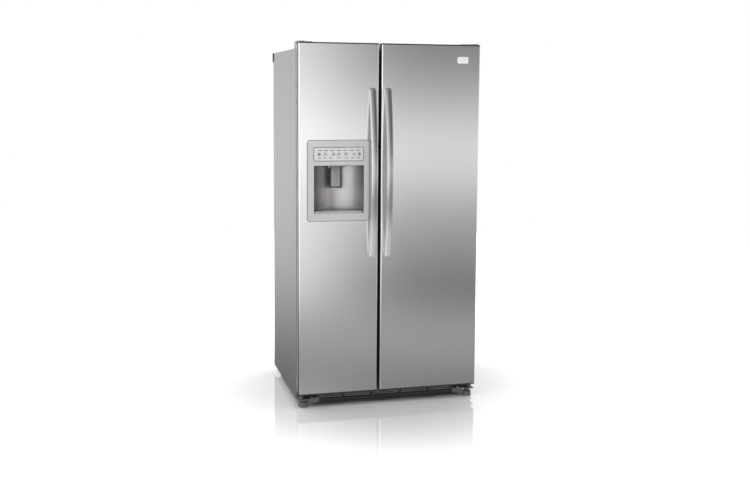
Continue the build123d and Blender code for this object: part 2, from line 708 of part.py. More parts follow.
def door_liner(door):
    """Thermoformed sheet: edge, raised platform, dykes, and on the freezer door the dispenser bulge."""
    z = (DOOR_BOTTOM + CAP, DOOR_TOP - CAP)
    outside = block(grown(door.x, -1), (Y_SKIN_BACK + PLAY, Y_LINER), z)
    inside = block(grown(door.x, -1 - LINER), (Y_SKIN_BACK - 1, Y_LINER - LINER), grown(z, -LINER))
    outside += block(door.platform, (Y_LINER, Y_PLATFORM), PLATFORM_Z)
    hollow_y = (Y_LINER - LINER, Y_PLATFORM - LINER)
    inside += block(grown(door.platform, -LINER), hollow_y, grown(PLATFORM_Z, -LINER))
    for x in dykes(door):
        outside += block(x, (Y_PLATFORM, Y_DYKE), DYKE_Z)
        inside += block(grown(x, -LINER), (Y_PLATFORM - LINER, Y_DYKE - LINER), grown(DYKE_Z, -LINER))
    if door is FREEZER_DOOR:
        outside += block(BULGE_X, (Y_PLATFORM, Y_BULGE), BULGE_Z)
        hollow_y = (Y_PLATFORM - LINER, Y_BULGE - LINER)
        inside += block(grown(BULGE_X, -LINER), hollow_y, grown(BULGE_Z, -LINER))
        inside += chute(FIT, (BULGE_Z[1] - 4, BULGE_Z[1] + 1))
    return outside - inside


def door_foam(door):
    """Foam between the skin and the liner, cut away round the dispenser."""
    foam = block(grown(door.x, -4), (Y_DOOR + SKIN + PLAY, Y_LINER - LINER - PLAY), FOAM_Z)
    foam -= door_corner_relief(door)
    inner = grown(door.platform, -LINER - PLAY)
    foam += block(inner, (Y_LINER - 5, Y_PLATFORM - LINER - PLAY), grown(PLATFORM_Z, -LINER - PLAY))
    if door is FREEZER_DOOR:
        behind = grown(BULGE_X, -LINER - PLAY)
        foam += block(behind, (Y_PLATFORM - 5, Y_BULGE - LINER - PLAY), grown(BULGE_Z, -LINER - PLAY))
        foam -= block(grown(BEZEL_X, -8), (Y_DOOR - 1, Y_DOOR + 8), grown(BEZEL_Z, -8))
        foam -= recess_prism(RECESS_WALL + PLAY, grown(RECESS_Z, RECESS_WALL + PLAY))
        foam -= block(grown(PANEL_X, -4), (Y_DOOR - 1, Y_DOOR + 12), grown(PANEL_Z, -4))
        foam -= chute(PLAY, (RECESS_Z[1], BULGE_Z[1]))
    return foam


def door_corner_relief(door):
    """What the skin's rounded front corners take away from the foam."""
    z = grown(FOAM_Z, 10)
    square = block(grown(door.x, -1), (Y_DOOR - 1, Y_DOOR + CORNER + 1), z)
    return square - door_prism(door, SKIN + PLAY, z)


def gasket(door):
    """Magnetic seal round the door, just short of the cabinet front."""
    y = (Y_LINER, Y_LINER + GASKET)
    mouth = block(grown(door.gasket, -GASKET_WIDTH), grown(y, 1), grown(GASKET_Z, -GASKET_WIDTH))
    return block(door.gasket, y, GASKET_Z) - mouth


def handle(middle):
    """Bowed bar, fixed to the door at both ends, with a finger gap behind it."""
    low, high = HANDLE_Z
    centre = (low + high) / 2
    end = Y_DOOR - HANDLE_END
    outer = ThreePointArc((end, low), (Y_HANDLE, centre), (end, high))
    outline = Curve() + [Line((Y_DOOR, high), (Y_DOOR, low)), Line((Y_DOOR, low), (end, low)),
                         outer, Line((end, high), (Y_DOOR, high))]
    face = make_face(outline)
    gap_low, gap_high = (Y_DOOR, low + HANDLE_FOOT), (Y_DOOR, high - HANDLE_FOOT)
    inner = ThreePointArc(gap_low, (Y_HANDLE + HANDLE_THICK, centre), gap_high)
    gap = make_face(Curve() + [inner, Line(gap_high, gap_low)])
    side = Plane(origin=(middle - HANDLE_WIDTH / 2, 0, 0), x_dir=(0, 1, 0), z_dir=(1, 0, 0))
    bar = extrude(side * (face - gap), HANDLE_WIDTH)
    front_edges = bar.edges().filter_by(GeomType.CIRCLE).group_by(Axis.Y)[0]
    return fillet(front_edges, 6)


def door_bins(x, levels, size):
    """Open bins on the platform, between the dykes."""
    depth, height = size
    return [tray(x, (Y_PLATFORM, Y_PLATFORM + depth), (z, z + height), BIN_WALL) for z in levels]


def bin_span(door):
    """x range between the dykes, with a little clearance."""
    near, far = dykes(door)
    return (near[1] + FIT, far[0] - FIT)


# ---------------------------------------------------------------- dispenser


def recess_prism(grow, z):
    """Upright half-round volume of the recess, grown outwards by some thickness."""
    x = grown(RECESS_X, grow)
    middle = (x[0] + x[1]) / 2
    arc = ThreePointArc((x[0], Y_DOOR), (middle, Y_DOOR + RECESS_DEPTH + grow), (x[1], Y_DOOR))
    face = make_face(Curve() + [arc, Line((x[1], Y_DOOR), (x[0], Y_DOOR))])
    return extrude(Plane.XY.offset(z[0]) * face, z[1] - z[0])


def chute(grow, z):
    """The ice chute's outer volume between two heights, grown outwards by some thickness."""
    run = BULGE_Z[1] - RECESS_Z[1]
    corners = []
    for height, order in ((z[0], 1), (z[1], -1)):
        share = (height - RECESS_Z[1]) / run
        ends = [foot + (top - foot) * share for foot, top in zip(CHUTE_FOOT_Y, CHUTE_TOP_Y)]
        corners += [(y, height) for y in grown(ends, grow)[::order]]
    x = grown(CHUTE_X, grow)
    side = Plane(origin=(x[0], 0, 0), x_dir=(0, 1, 0), z_dir=(1, 0, 0))
    return extrude(side * make_face(Polyline(*corners, close=True)), x[1] - x[0])


def dispenser_bezel():
    """Rounded frame in front of the skin with a window for the panel and one for the recess."""
    y = (Y_DOOR - BEZEL_PROUD, Y_DOOR)
    bezel = plate_xz(BEZEL_X, BEZEL_Z, y, 12)
    through = grown(y, 1)
    bezel -= plate_xz(grown(PANEL_X, FIT), grown(PANEL_Z, FIT), through, 9)
    return bezel - plate_xz(RECESS_X, RECESS_Z, through, 3)


def dispenser_housing():
    """Recess shell with its front flange, the lever's lugs and the ice chute above."""
    flange = plate_xz(grown(BEZEL_X, -12.3), grown(BEZEL_Z, -12.3), (Y_DOOR, Y_DOOR + 3), 8)
    flange -= plate_xz(grown(PANEL_X, -6), grown(PANEL_Z, -6), (Y_DOOR - 1, Y_DOOR + 4), 6)
    housing = flange + recess_prism(RECESS_WALL, grown(RECESS_Z, RECESS_WALL))
    housing += chute(0, (RECESS_Z[1] + RECESS_WALL - 1, BULGE_Z[1] - 1))
    housing -= recess_prism(0, RECESS_Z)
    housing -= block(RECESS_X, (Y_DOOR - 1, Y_DOOR + 0.01), RECESS_Z)
    housing -= chute(-RECESS_WALL, (RECESS_Z[1] - 1, BULGE_Z[1]))
    lug = 4.0
    for x in (LEVER_X[0] - 3 - lug, LEVER_X[1] + 3):
        ear = block((x, x + lug), around(LEVER_Y, 7), (LEVER_Z[1] - 8, RECESS_Z[1] + 1))
        housing += ear - rod((x - 1, LEVER_Y, LEVER_Z[1]), (1, 0, 0), lug + 2, SHAFT_HOLE)
    return housing


def control_panel():
    """Panel plate with one opening per key."""
    panel = plate_xz(PANEL_X, PANEL_Z, (Y_DOOR - BEZEL_PROUD + 1, Y_DOOR), 8)
    for x in KEY_X:
        panel -= key_plate(x, FIT, (Y_DOOR - BEZEL_PROUD, Y_DOOR + 1))
    return panel


def key_plate(x, grow, y):
    middle = (PANEL_Z[0] + PANEL_Z[1]) / 2
    half_width, half_height = KEY[0] / 2 + grow, KEY[1] / 2 + grow
    return plate_xz(around(x, half_width), around(middle, half_height), y, 4)


def key(x):
    """Key cap with a wider collar behind the panel."""
    reach, thick = KEY_COLLAR
    collar = Y_DOOR + FIT
    cap = key_plate(x, 0, (Y_DOOR - BEZEL_PROUD + 0.2, collar))
    return cap + key_plate(x, reach, (collar, collar + thick))


def dispenser_lever():
    """Paddle with its pivot rod along the top edge."""
    paddle = plate_xz(LEVER_X, (LEVER_Z[0], LEVER_Z[1] + 2), around(LEVER_Y, 2), 4)
    lip = block(grown(LEVER_X, -6), (LEVER_Y - 8, LEVER_Y), (LEVER_Z[0], LEVER_Z[0] + 6))
    pivot = rod((LEVER_X[0] - 6, LEVER_Y, LEVER_Z[1]), (1, 0, 0), LEVER_X[1] - LEVER_X[0] + 12, SHAFT)
    return paddle + lip + pivot


def drip_tray():
    """Half-round tray on the recess floor, slotted on top."""
    low, thick = RECESS_Z[0] + PLAY, 9
    front, slot_front, floor, pitch = Y_DOOR + 3, Y_DOOR + 14, 3, 15
    body = recess_prism(-4, (low, low + thick))
    body -= block(RECESS_X, (Y_DOOR - 1, front), (low - 1, low + thick + 1))
    for i in range(-6, 7):
        middle = (RECESS_X[0] + RECESS_X[1]) / 2 + pitch * i
        reach = 78 - abs(i) * 6
        body -= block(around(middle, 3), (slot_front, slot_front + reach), (low + floor, low + thick + 1))
    return body


# ---------------------------------------------------------------- dairy compartment and badge


def dairy_box():
    """Compartment on the door with an open back and bearing holes for its flap."""
    y = (Y_PLATFORM, Y_PLATFORM + DAIRY_DEPTH)
    body = block(DAIRY_X, y, DAIRY_Z)
    body -= block(grown(DAIRY_X, -DAIRY_WALL), (y[0] + DAIRY_WALL, y[1] + 1), grown(DAIRY_Z, -DAIRY_WALL))
    return body - rod((DAIRY_X[0] - 1, *DAIRY_HINGE), (1, 0, 0), DAIRY_X[1] - DAIRY_X[0] + 2, SHAFT_HOLE)


def dairy_flap():
    """Clear flap that swings up about a rod along its top edge."""
    y, z = DAIRY_HINGE
    flap = block(grown(DAIRY_X, -5), (y - 1, y + 2), (DAIRY_Z[0] + 5, z))
    return flap + rod((DAIRY_X[0] + 0.5, y, z), (1, 0, 0), DAIRY_X[1] - DAIRY_X[0] - 1, SHAFT)


def badge():
    """Small blank plate near the top outer corner of the right door."""
    return plate_xz(BADGE_X, BADGE_Z, (Y_DOOR - BADGE_THICK, Y_DOOR), 6)


# ---------------------------------------------------------------- nodes

os.makedirs("parts", exist_ok=True)

save("cabinet_shell", cabinet_shell())
save("base_pan", base_pan())
save("back_panel", back_panel())
save("cabinet_foam", cabinet_foam())
save("freezer_liner", liner(FREEZER_X, -424, MULLION[0] + 13))
save("fridge_liner", liner(FRIDGE_X, 424, MULLION[1] - 13))
save("centre_mullion", centre_mullion())
save("toe_grille", toe_grille())
save("top_hinges", *both_sides(top_hinge()), *[s for t in top_hinge_screws() for s in both_sides(t)])
save("hinge_covers", *both_sides(hinge_cover()))
save("bottom_hinges", *both_sides(bottom_hinge()), *bottom_hinge_screws())
save("wall_spacers", *both_sides(wall_spacer()))
save("compressor", compressor())
save("condenser_coil", condenser_coil())
save("evaporator", evaporator())
save("fan_motors", *fan_motors())
save("condenser_fan", fan(CONDENSER_FAN, (1, 0, 0), CONDENSER_FAN_RADIUS, 32))
save("evaporator_fan", fan(EVAPORATOR_FAN, (0, -1, 0), EVAPORATOR_FAN_RADIUS, 32))
save("rear_cover", rear_cover())
save("water_valve", water_valve())
save("power_inlet", power_inlet())
save("evaporator_cover", evaporator_cover())
save("ice_maker", ice_maker())
save("ice_bin", ice_bin())
save("ice_auger", ice_auger())
save("fridge_shelves", *shelves(FRIDGE_X, CAVITY_BACK, FRIDGE_SHELVES))
save("freezer_shelves", *shelves(FREEZER_X, FREEZER_SHELF_BACK, FREEZER_SHELVES))

for side, name in ((-1, "left"), (1, "right")):
    save(f"foot_{name}", foot(side * FOOT_X))
    save(f"roller_{name}", roller(side * ROLLER_X))

for name, x in (("freezer_drawer", FREEZER_DRAWER_X), ("crisper", CRISPER_X)):
    save(f"{name}_lower", drawer(x, STEP_FRONT - 8, LOWER_DRAWER_Z))
    save(f"{name}_upper", drawer(x, UPPER_DRAWER_BACK, UPPER_DRAWER_Z))

for door, name in ((FREEZER_DOOR, "freezer_door"), (FRIDGE_DOOR, "fridge_door")):
    save(f"{name}_skin", door_skin(door))
    save(f"{name}_liner", door_liner(door))
    save(f"{name}_foam", door_foam(door))
    save(f"{name}_caps", *door_caps(door))
    save(f"{name}_gasket", gasket(door))

save("freezer_door_handle", handle(DOOR_SPLIT - HANDLE_OFFSET))
save("fridge_door_handle", handle(DOOR_SPLIT + HANDLE_OFFSET))
save("freezer_door_bins", *door_bins(bin_span(FREEZER_DOOR), FREEZER_BINS, FREEZER_BIN))
save("fridge_door_bins", *door_bins(bin_span(FRIDGE_DOOR), FRIDGE_BINS, FRIDGE_BIN), dairy_box())
save("dairy_flap", dairy_flap())
save("badge", badge())

save("dispenser_bezel", dispenser_bezel())
save("dispenser_housing", dispenser_housing())
save("control_panel", control_panel())
save("dispenser_lever", dispenser_lever())
save("drip_tray", drip_tray())
for number, x in enumerate(KEY_X, 1):
    save(f"key_{number}", key(x))
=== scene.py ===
from math import asin, cos, pi, radians, sin, sqrt

import bmesh
import bpy
from mathutils import Matrix, Vector


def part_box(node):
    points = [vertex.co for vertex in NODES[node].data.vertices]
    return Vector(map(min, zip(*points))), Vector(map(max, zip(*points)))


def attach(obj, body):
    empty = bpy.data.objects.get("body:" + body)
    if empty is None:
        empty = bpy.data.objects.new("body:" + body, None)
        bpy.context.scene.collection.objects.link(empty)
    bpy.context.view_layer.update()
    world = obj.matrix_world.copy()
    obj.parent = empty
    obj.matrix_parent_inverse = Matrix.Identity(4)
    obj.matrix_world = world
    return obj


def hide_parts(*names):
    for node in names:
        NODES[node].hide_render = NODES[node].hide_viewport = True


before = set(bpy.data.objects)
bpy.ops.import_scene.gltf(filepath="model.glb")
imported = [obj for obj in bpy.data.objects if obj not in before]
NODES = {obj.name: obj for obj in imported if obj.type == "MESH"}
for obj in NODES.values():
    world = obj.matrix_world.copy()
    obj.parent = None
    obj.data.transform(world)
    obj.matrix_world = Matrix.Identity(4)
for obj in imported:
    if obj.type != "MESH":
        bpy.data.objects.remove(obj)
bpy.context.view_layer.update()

# A side by side refrigerator in metres: +X is the viewer's right, +Y the back, +Z up.
# Most places come from the boxes of the CAD nodes. Those that no box gives are named here, and the
# sizes of a detail stand in the function that makes it.

MM = 0.001
FRONT = (0, 2, 1)  # u is x, v is z and w is y: plates that face the viewer
FLAT = (0, 1, 2)  # u is x, v is y and w is z: trays and shelves
ACROSS = (1, 2, 0)  # u is y, v is z and w is x: bars that run from side to side
RIGHT, BACKWARDS, UP, DOWN = (1, 0, 0), (0, 1, 0), (0, 0, 1), (0, 0, -1)


def mm(*values):
    """Millimetres in metres."""
    return tuple(value * MM for value in values)



# The cavities: their insides, the raised floor at the back, and the shelves' levels and back edges.
FREEZER_X = mm(-398, -92)
FRIDGE_X = mm(-16, 398)
CAVITY_Z = mm(130, 1685)
STEP_FRONT = 115 * MM
STEP_TOP = 345 * MM
FREEZER_SHELVES = mm(575, 770, 965, 1160)
FRIDGE_SHELVES = mm(560, 820, 1080, 1340)
FREEZER_SHELF_BACK = 262 * MM
FRIDGE_SHELF_BACK = 330 * MM

# The doors' inner panels: the raised platform, the dykes that stand on it and hold the bins, and the
# bulge over the dispenser, as its x, the y of its top, and its z.
PLATFORM_Z = mm(140, 1675)
FREEZER_PLATFORM_X = mm(-389, -100)
FRIDGE_PLATFORM_X = mm(-9, 394)
DYKE_Z = mm(160, 1660)
FREEZER_DYKES = (mm(-389, -377), mm(-124, -112))
FRIDGE_DYKES = (mm(0, 12), mm(382, 394))
BULGE = (mm(-377, -122), -190 * MM, mm(890, 1335))

# What hangs on them: bins between the dykes, the dairy hood, and the dark strips of painted shade along the
# gap.
BIN_FRONT = -260.5 * MM
FREEZER_BINS = {"x": mm(-376.7, -124.3), "back": -186 * MM, "height": 100 * MM,
                "floors": mm(200, 430, 660, 1505)}
FRIDGE_BINS = {"x": mm(12.3, 381.7), "back": -166 * MM, "height": 110 * MM,
               "floors": mm(200, 520, 840, 1160)}
DAIRY_X = mm(12.5, 381.5)
DAIRY_Y = mm(-261, -173)
DAIRY_Z = mm(1490, 1610)
# The strips of painted shade in the door gap: their x on each door, then their y and z.
FREEZER_GAP_SHADE_X = mm(-61.9, -61.1)
FRIDGE_GAP_SHADE_X = mm(-46.9, -46.1)
GAP_SHADE_Y = mm(-301.5, -286.5)
GAP_SHADE_Z = mm(73, 1740)

# The dispenser: the sides and top of the recess, whose bottom line lies behind the bezel, and the
# height of a raised print.
RECESS_X = mm(-375, -132)
RECESS_Z = mm(940, 1172)
PRINT = 0.25 * MM

FLOOR_RADIUS = 6.0


# ---- materials


def node(tree, kind, **inputs):
    """A shader node with its input values set by name."""
    made = tree.nodes.new(kind)
    for name, value in inputs.items():
        made.inputs[name.replace("_", " ")].default_value = value
    return made


def noise_factor(tree, scale, detail, stretch=(1, 1, 1)):
    """Noise in object space, in features per metre, stretched along the axes."""
    place = tree.nodes.new("ShaderNodeTexCoord")
    mapping = node(tree, "ShaderNodeMapping", Scale=stretch)
    noise = node(tree, "ShaderNodeTexNoise", Scale=scale, Detail=detail)
    tree.links.new(place.outputs["Object"], mapping.inputs["Vector"])
    tree.links.new(mapping.outputs["Vector"], noise.inputs["Vector"])
    return noise.outputs["Fac"]


def span(tree, factor, low, high):
    """The factor's useful middle mapped to a range."""
    ranged = node(tree, "ShaderNodeMapRange", From_Min=0.3, From_Max=0.7, To_Min=low, To_Max=high)
    tree.links.new(factor, ranged.inputs["Value"])
    return ranged.outputs["Result"]


def tint(tree, factor, dark, light):
    """A colour between two, by a factor."""
    mix = tree.nodes.new("ShaderNodeMix")
    mix.data_type = "RGBA"
    mix.inputs["A"].default_value = (*dark, 1)
    mix.inputs["B"].default_value = (*light, 1)
    tree.links.new(factor, mix.inputs["Factor"])
    return mix.outputs["Result"]


def scaled(color, by):
    return tuple(min(1.0, c * by) for c in color)


MATERIALS = {}


def surface(name, color, roughness, grain, stretch=(1, 1, 1), vary=0.05, bump=0.1, height=0.1,
            mottle=9.0, sockets=None):
    """Makes and lists a material: mottled colour, uneven roughness and a fine bump of the given grain.

    Grain and mottle are features per metre, and height is the bump's in millimetres.
    """
    material = bpy.data.materials.new(name)
    material.use_nodes = True
    tree = material.node_tree
    shader = tree.nodes["Principled BSDF"]
    fine = noise_factor(tree, grain, 3.0, stretch)
    coarse = noise_factor(tree, mottle, 5.0)
    color_factor = span(tree, coarse, 0.0, 1.0)
    tree.links.new(tint(tree, color_factor, scaled(color, 1 - vary), scaled(color, 1 + vary)),
                   shader.inputs["Base Color"])
    tree.links.new(span(tree, fine, roughness * 0.85, roughness * 1.15), shader.inputs["Roughness"])
    relief = node(tree, "ShaderNodeBump", Strength=bump, Distance=height * MM)
    tree.links.new(fine, relief.inputs["Height"])
    tree.links.new(relief.outputs["Normal"], shader.inputs["Normal"])
    for socket, value in (sockets or {}).items():
        shader.inputs[socket].default_value = value
    MATERIALS[name] = material
    return material


def direction(tree, output):
    """The X, Y and Z of the way a surface faces (Normal), or of the way that a world ray goes (Generated)."""
    place = tree.nodes.new("ShaderNodeTexCoord")
    split = tree.nodes.new("ShaderNodeSeparateXYZ")
    tree.links.new(place.outputs[output], split.inputs["Vector"])
    return split.outputs


def dark_sides(material, dark, roughness):
    """Makes a material dark, matte and not metallic where the surface faces left or right."""
    tree = material.node_tree
    shader = tree.nodes["Principled BSDF"]
    aside = tree.nodes.new("ShaderNodeMath")
    aside.operation = "ABSOLUTE"
    tree.links.new(direction(tree, "Normal")["X"], aside.inputs[0])
    share = node(tree, "ShaderNodeMapRange", From_Min=0.90, From_Max=0.99)
    tree.links.new(aside.outputs["Value"], share.inputs["Value"])
    for socket, value in (("Base Color", (*dark, 1)), ("Roughness", roughness), ("Metallic", 0.0)):
        mix = tree.nodes.new("ShaderNodeMix")
        mix.data_type = "RGBA" if socket == "Base Color" else "FLOAT"
        tree.links.new(share.outputs["Result"], mix.inputs["Factor"])
        ends = [i for i in mix.inputs if i.enabled and i.name in ("A", "B")]
        links = shader.inputs[socket].links
        if links:
            tree.links.new(links[0].from_socket, ends[0])
        else:
            ends[0].default_value = shader.inputs[socket].default_value
        ends[1].default_value = value
        result = next(o for o in mix.outputs if o.enabled)
        tree.links.new(result, shader.inputs[socket])


def painted_back_glow(material, glow):
    """Paints a faint glow on the side that faces the door: painted light, in place of the light that the
    bright door sends back.
    """
    tree = material.node_tree
    shader = tree.nodes["Principled BSDF"]
    share = node(tree, "ShaderNodeMapRange", From_Min=0.3, From_Max=0.9, To_Max=glow)
    tree.links.new(direction(tree, "Normal")["Y"], share.inputs["Value"])
    tree.links.new(share.outputs["Result"], shader.inputs["Emission Strength"])
    shader.inputs["Emission Color"].default_value = (0.96, 0.94, 0.95, 1)


METAL = {"Metallic": 1.0}
CLEAR = {"Transmission Weight": 0.85, "IOR": 1.49}
GLASS = {"Transmission Weight": 1.0, "IOR": 1.52}
UPRIGHT = (1, 1, 0.012)  # brush lines that run up and down

dark_sides(surface("stainless", (0.665, 0.652, 0.66), 0.14, 2600, UPRIGHT, 0.012, 0.03, 0.02, 2.0,
                   {"Metallic": 1.0, "Anisotropic": 0.7}), (0.03, 0.03, 0.032), 0.4)
# The handles' steel gets a painted glow on the faces turned to the door.
painted_back_glow(surface("handle_steel", (0.48, 0.47, 0.475), 0.2, 2600, UPRIGHT, 0.03, 0.08, 0.03, 5.0, METAL), 0.27)
surface("recess_steel", (0.47, 0.455, 0.465), 0.4, 2600, UPRIGHT, 0.03, 0.08, 0.03, 6.0, METAL)
surface("side_paint", (0.11, 0.11, 0.113), 0.32, 900, vary=0.03, bump=0.15, height=0.08)
surface("galvanised", (0.42, 0.43, 0.44), 0.45, 700, vary=0.12, mottle=70, sockets={"Metallic": 0.8})
surface("white_liner", (0.62, 0.63, 0.64), 0.28, 500, vary=0.015, bump=0.08, sockets={"Coat Weight": 0.2})
surface("clear_plastic", (0.86, 0.92, 0.95), 0.08, 300, vary=0.02, bump=0.03, sockets=CLEAR)
surface("shelf_glass", (0.85, 0.95, 0.92), 0.03, 60, vary=0.02, bump=0.02, sockets=GLASS)
surface("shelf_trim", (0.52, 0.53, 0.54), 0.3, 900, vary=0.02, bump=0.06)
surface("dark_plastic", (0.02, 0.02, 0.022), 0.5, 1500, vary=0.1, bump=0.35, height=0.15,
        sockets={"Specular IOR Level": 0.25})
surface("grey_plastic", (0.20, 0.20, 0.205), 0.45, 1500, vary=0.08, bump=0.3, height=0.12)
surface("silver_plastic", (0.41, 0.40, 0.41), 0.3, 2400, vary=0.03, height=0.04,
        sockets={"Metallic": 0.55, "Coat Weight": 0.3})
surface("lever_pad", (0.21, 0.20, 0.205), 0.42, 1200, bump=0.2)
surface("panel_face", (0.34, 0.34, 0.345), 0.16, 800, vary=0.02, bump=0.03, sockets={"Coat Weight": 0.6})
surface("key_face", (0.34, 0.34, 0.345), 0.2, 900, vary=0.02, bump=0.05)
surface("print_dark", (0.05, 0.055, 0.06), 0.4, 900, bump=0.05)
surface("gasket_rubber", (0.66, 0.66, 0.66), 0.6, 1300, vary=0.04, bump=0.25)
surface("black_enamel", (0.02, 0.02, 0.022), 0.3, 500, vary=0.1, bump=0.15, sockets={"Coat Weight": 0.4})
surface("coil_metal", (0.68, 0.68, 0.69), 0.35, 900, vary=0.06, sockets=METAL)
surface("motor_steel", (0.25, 0.25, 0.26), 0.4, 900, vary=0.06, sockets={"Metallic": 0.7})
surface("bracket_paint", (0.075, 0.075, 0.078), 0.42, 1300, vary=0.08, bump=0.2)
surface("tray_grid", (0.26, 0.255, 0.26), 0.35, 1300, vary=0.06, bump=0.15)
surface("hinge_steel", (0.22, 0.22, 0.23), 0.42, 1100, vary=0.06, bump=0.15, sockets={"Metallic": 0.6})
# seam: dark lines round the panel and the bezel, partly painted shade at the bezel, and the painted shade
# line inside the recess opening.
surface("seam", (0.09, 0.09, 0.092), 0.5, 900, bump=0.05)
surface("badge_metal", (0.52, 0.52, 0.53), 0.2, 2000, (1, 0.02, 1), 0.03, 0.06, 0.02, 9.0,
        {"Metallic": 0.25, "Coat Weight": 0.4})
surface("foam", (0.78, 0.68, 0.42), 0.9, 260, vary=0.12, bump=0.6, height=0.8, mottle=30)
SEE_THROUGH = ("clear_plastic", "shelf_glass")  # these cast no shadow, so the lamps light what is below


def paint(shown, material):
    """Gives an object one material in place of those it has."""
    shown.data.materials.clear()
    shown.data.materials.append(MATERIALS[material])


# ---- mesh tools


def grown(pair, by):
    return (pair[0] - by, pair[1] + by)


def around(middle, reach):
    return (middle - reach, middle + reach)


def middle_of(pair):
    return (pair[0] + pair[1]) / 2


def sides(name):
    """The (low, high) pairs in x, y and z of a CAD node."""
    low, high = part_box(name)
    return tuple((low[i], high[i]) for i in range(3))


def placed(u, v, w, axes):
    point = [0.0, 0.0, 0.0]
    for value, axis in zip((u, v, w), axes):
        point[axis] = value
    return point


def rounded_loop(u, v, radius, steps):
    """A rectangle between (low, high) pairs, with round corners, anticlockwise.

    The radius can be a pair: one for the corners at low v and one for those at high v.
    """
    low, high = radius if isinstance(radius, tuple) else (radius, radius)
    most = min(u[1] - u[0], v[1] - v[0]) / 2.001  # just under half, so that corners never meet
    corners = ((u[1], v[1], -1, -1, high), (u[0], v[1], 1, -1, high),
               (u[0], v[0], 1, 1, low), (u[1], v[0], -1, 1, low))
    loop = []
    for quarter, (cu, cv, du, dv, wanted) in enumerate(corners):
        round_by = max(min(wanted, most), 1e-5)
        for i in range(steps + 1):
            turn = pi / 2 * (quarter + i / steps)
            loop.append((cu + round_by * (du + cos(turn)), cv + round_by * (dv + sin(turn))))
    return loop


def bridge(bm, loops, closed):
    """Quads between one loop of vertices and the next, and an end face at each open end."""
    pairs = list(zip(loops, loops[1:]))
    if closed:
        pairs.append((loops[-1], loops[0]))
    for near, far in pairs:
        count = len(near)
        for i in range(count):
            j = (i + 1) % count
            bm.faces.new((near[i], near[j], far[j], far[i]))
    if not closed:
        bm.faces.new(loops[0])
        bm.faces.new(loops[-1])


def added(name, data):
    """A new object in the scene."""
    made = bpy.data.objects.new(name, data)
    bpy.context.scene.collection.objects.link(made)
    return made


def piece(name, bm, material, body, stands_for=(), sharp=40):
    """Turns a bmesh into an object that rides on a body."""
    bmesh.ops.remove_doubles(bm, verts=bm.verts, dist=1e-6)
    bmesh.ops.dissolve_degenerate(bm, dist=1e-6, edges=bm.edges)
    bmesh.ops.recalc_face_normals(bm, faces=bm.faces)
    mesh = bpy.data.meshes.new(name)
    bm.to_mesh(mesh)
    bm.free()
    mesh.polygons.foreach_set("use_smooth", [True] * len(mesh.polygons))
    mesh.set_sharp_from_angle(angle=radians(sharp))
    made = added(name, mesh)
    paint(made, material)
    made.visible_shadow = material not in SEE_THROUGH
    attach(made, body)
    if stands_for:
        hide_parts(*stands_for)
    return made


def loft(sections, axes, steps=5, closed=False):
    """Skin over sections, each (u pair, v pair, corner radius, w)."""
    bm = bmesh.new()
    loops = []
    for u, v, radius, w in sections:
        outline = rounded_loop(u, v, radius, steps)
        loops.append([bm.verts.new(placed(a, b, w, axes)) for a, b in outline])
    bridge(bm, loops, closed)
    return bm


def inset_sections(u, v, radius, profile):
    """Sections of one rounded rectangle, moved inwards and along by each (inset, w) of a profile."""
    return [(grown(u, -inset), grown(v, -inset), radius - inset, w) for inset, w in profile]


def plate(u, v, w, radius, edge, axes, steps=6):
    """A flat plate whose edges are rounded on the side of w[0]."""
    step = edge if w[1] > w[0] else -edge
    profile = [(0, w[1]), (0, w[0] + step), (0.3 * edge, w[0] + 0.3 * step), (edge, w[0])]
    return loft(inset_sections(u, v, radius, profile), axes, steps)


def slab(u, v, w, radius, edge, axes, steps=6):
    """A plate with its edges rounded on both sides."""
    low, high = min(w), max(w)
    profile = [(edge, low), (0.3 * edge, low + 0.3 * edge), (0, low + edge),
               (0, high - edge), (0.3 * edge, high - 0.3 * edge), (edge, high)]
    return loft(inset_sections(u, v, radius, profile), axes, steps)


def tray(x, y, z, radius, wall, draft=0.0):
    """An open container with round corners, a rolled rim and a rounded floor edge."""
    foot = 5 * MM
    profile = [
        (draft + foot, z[0]), (draft + 0.3 * foot, z[0] + 0.3 * foot), (draft, z[0] + foot),
        (0, z[1] - 0.4 * wall), (0.3 * wall, z[1]), (0.8 * wall, z[1]), (wall, z[1] - 0.4 * wall),
        (draft + wall, z[0] + wall + foot), (draft + wall + 0.3 * foot, z[0] + wall + 0.3 * foot),
        (draft + wall + foot, z[0] + wall),
    ]
    return loft(inset_sections(x, y, radius, profile), FLAT, 6)


def lathe(profile, centre, axis, steps):
    """Turns (radius, distance) points about an axis through a centre."""
    turn = Vector(UP).rotation_difference(Vector(axis)).to_matrix()
    bm = bmesh.new()
    loops = []
    for radius, along in profile:
        loop = []
        for i in range(steps):
            angle = 2 * pi * i / steps
            local = Vector((radius * cos(angle), radius * sin(angle), along))
            loop.append(bm.verts.new(Vector(centre) + turn @ local))
        loops.append(loop)
    bridge(bm, loops, closed=False)
    return bm


def turned(profile, centre, steps):
    """An upright turned part, from radii and heights in millimetres."""
    return lathe([(radius * MM, height * MM) for radius, height in profile], centre, UP, steps)


def rod(start, length):
    """A 6 mm pivot rod with bevelled ends, which runs to the right from its start."""
    radius, bevel = 3 * MM, 0.8 * MM
    profile = [(radius - bevel, 0), (radius, bevel), (radius, length - bevel), (radius - bevel, length)]
    return lathe(profile, start, RIGHT, 16)


def bar(x, y, z, radius):
    """A bar with rounded edges along its length, which runs from side to side."""
    return loft([(y, z, radius, x[0]), (y, z, radius, x[1])], ACROSS, 4)


def joined(parts):
    """Several bmeshes as one."""
    whole = bmesh.new()
    for part in parts:
        mesh = bpy.data.meshes.new("part")
        part.to_mesh(mesh)
        part.free()
        whole.from_mesh(mesh)
        bpy.data.meshes.remove(mesh)
    return whole


def thicken(made, normals_show):
    """Gives a sheet its thickness behind the face that shows, with its normals turned that way first."""
    if not normals_show:
        made.data.flip_normals()
    sheet = made.modifiers.new("sheet", "SOLIDIFY")
    sheet.thickness = 1.5 * MM
    sheet.offset = -1


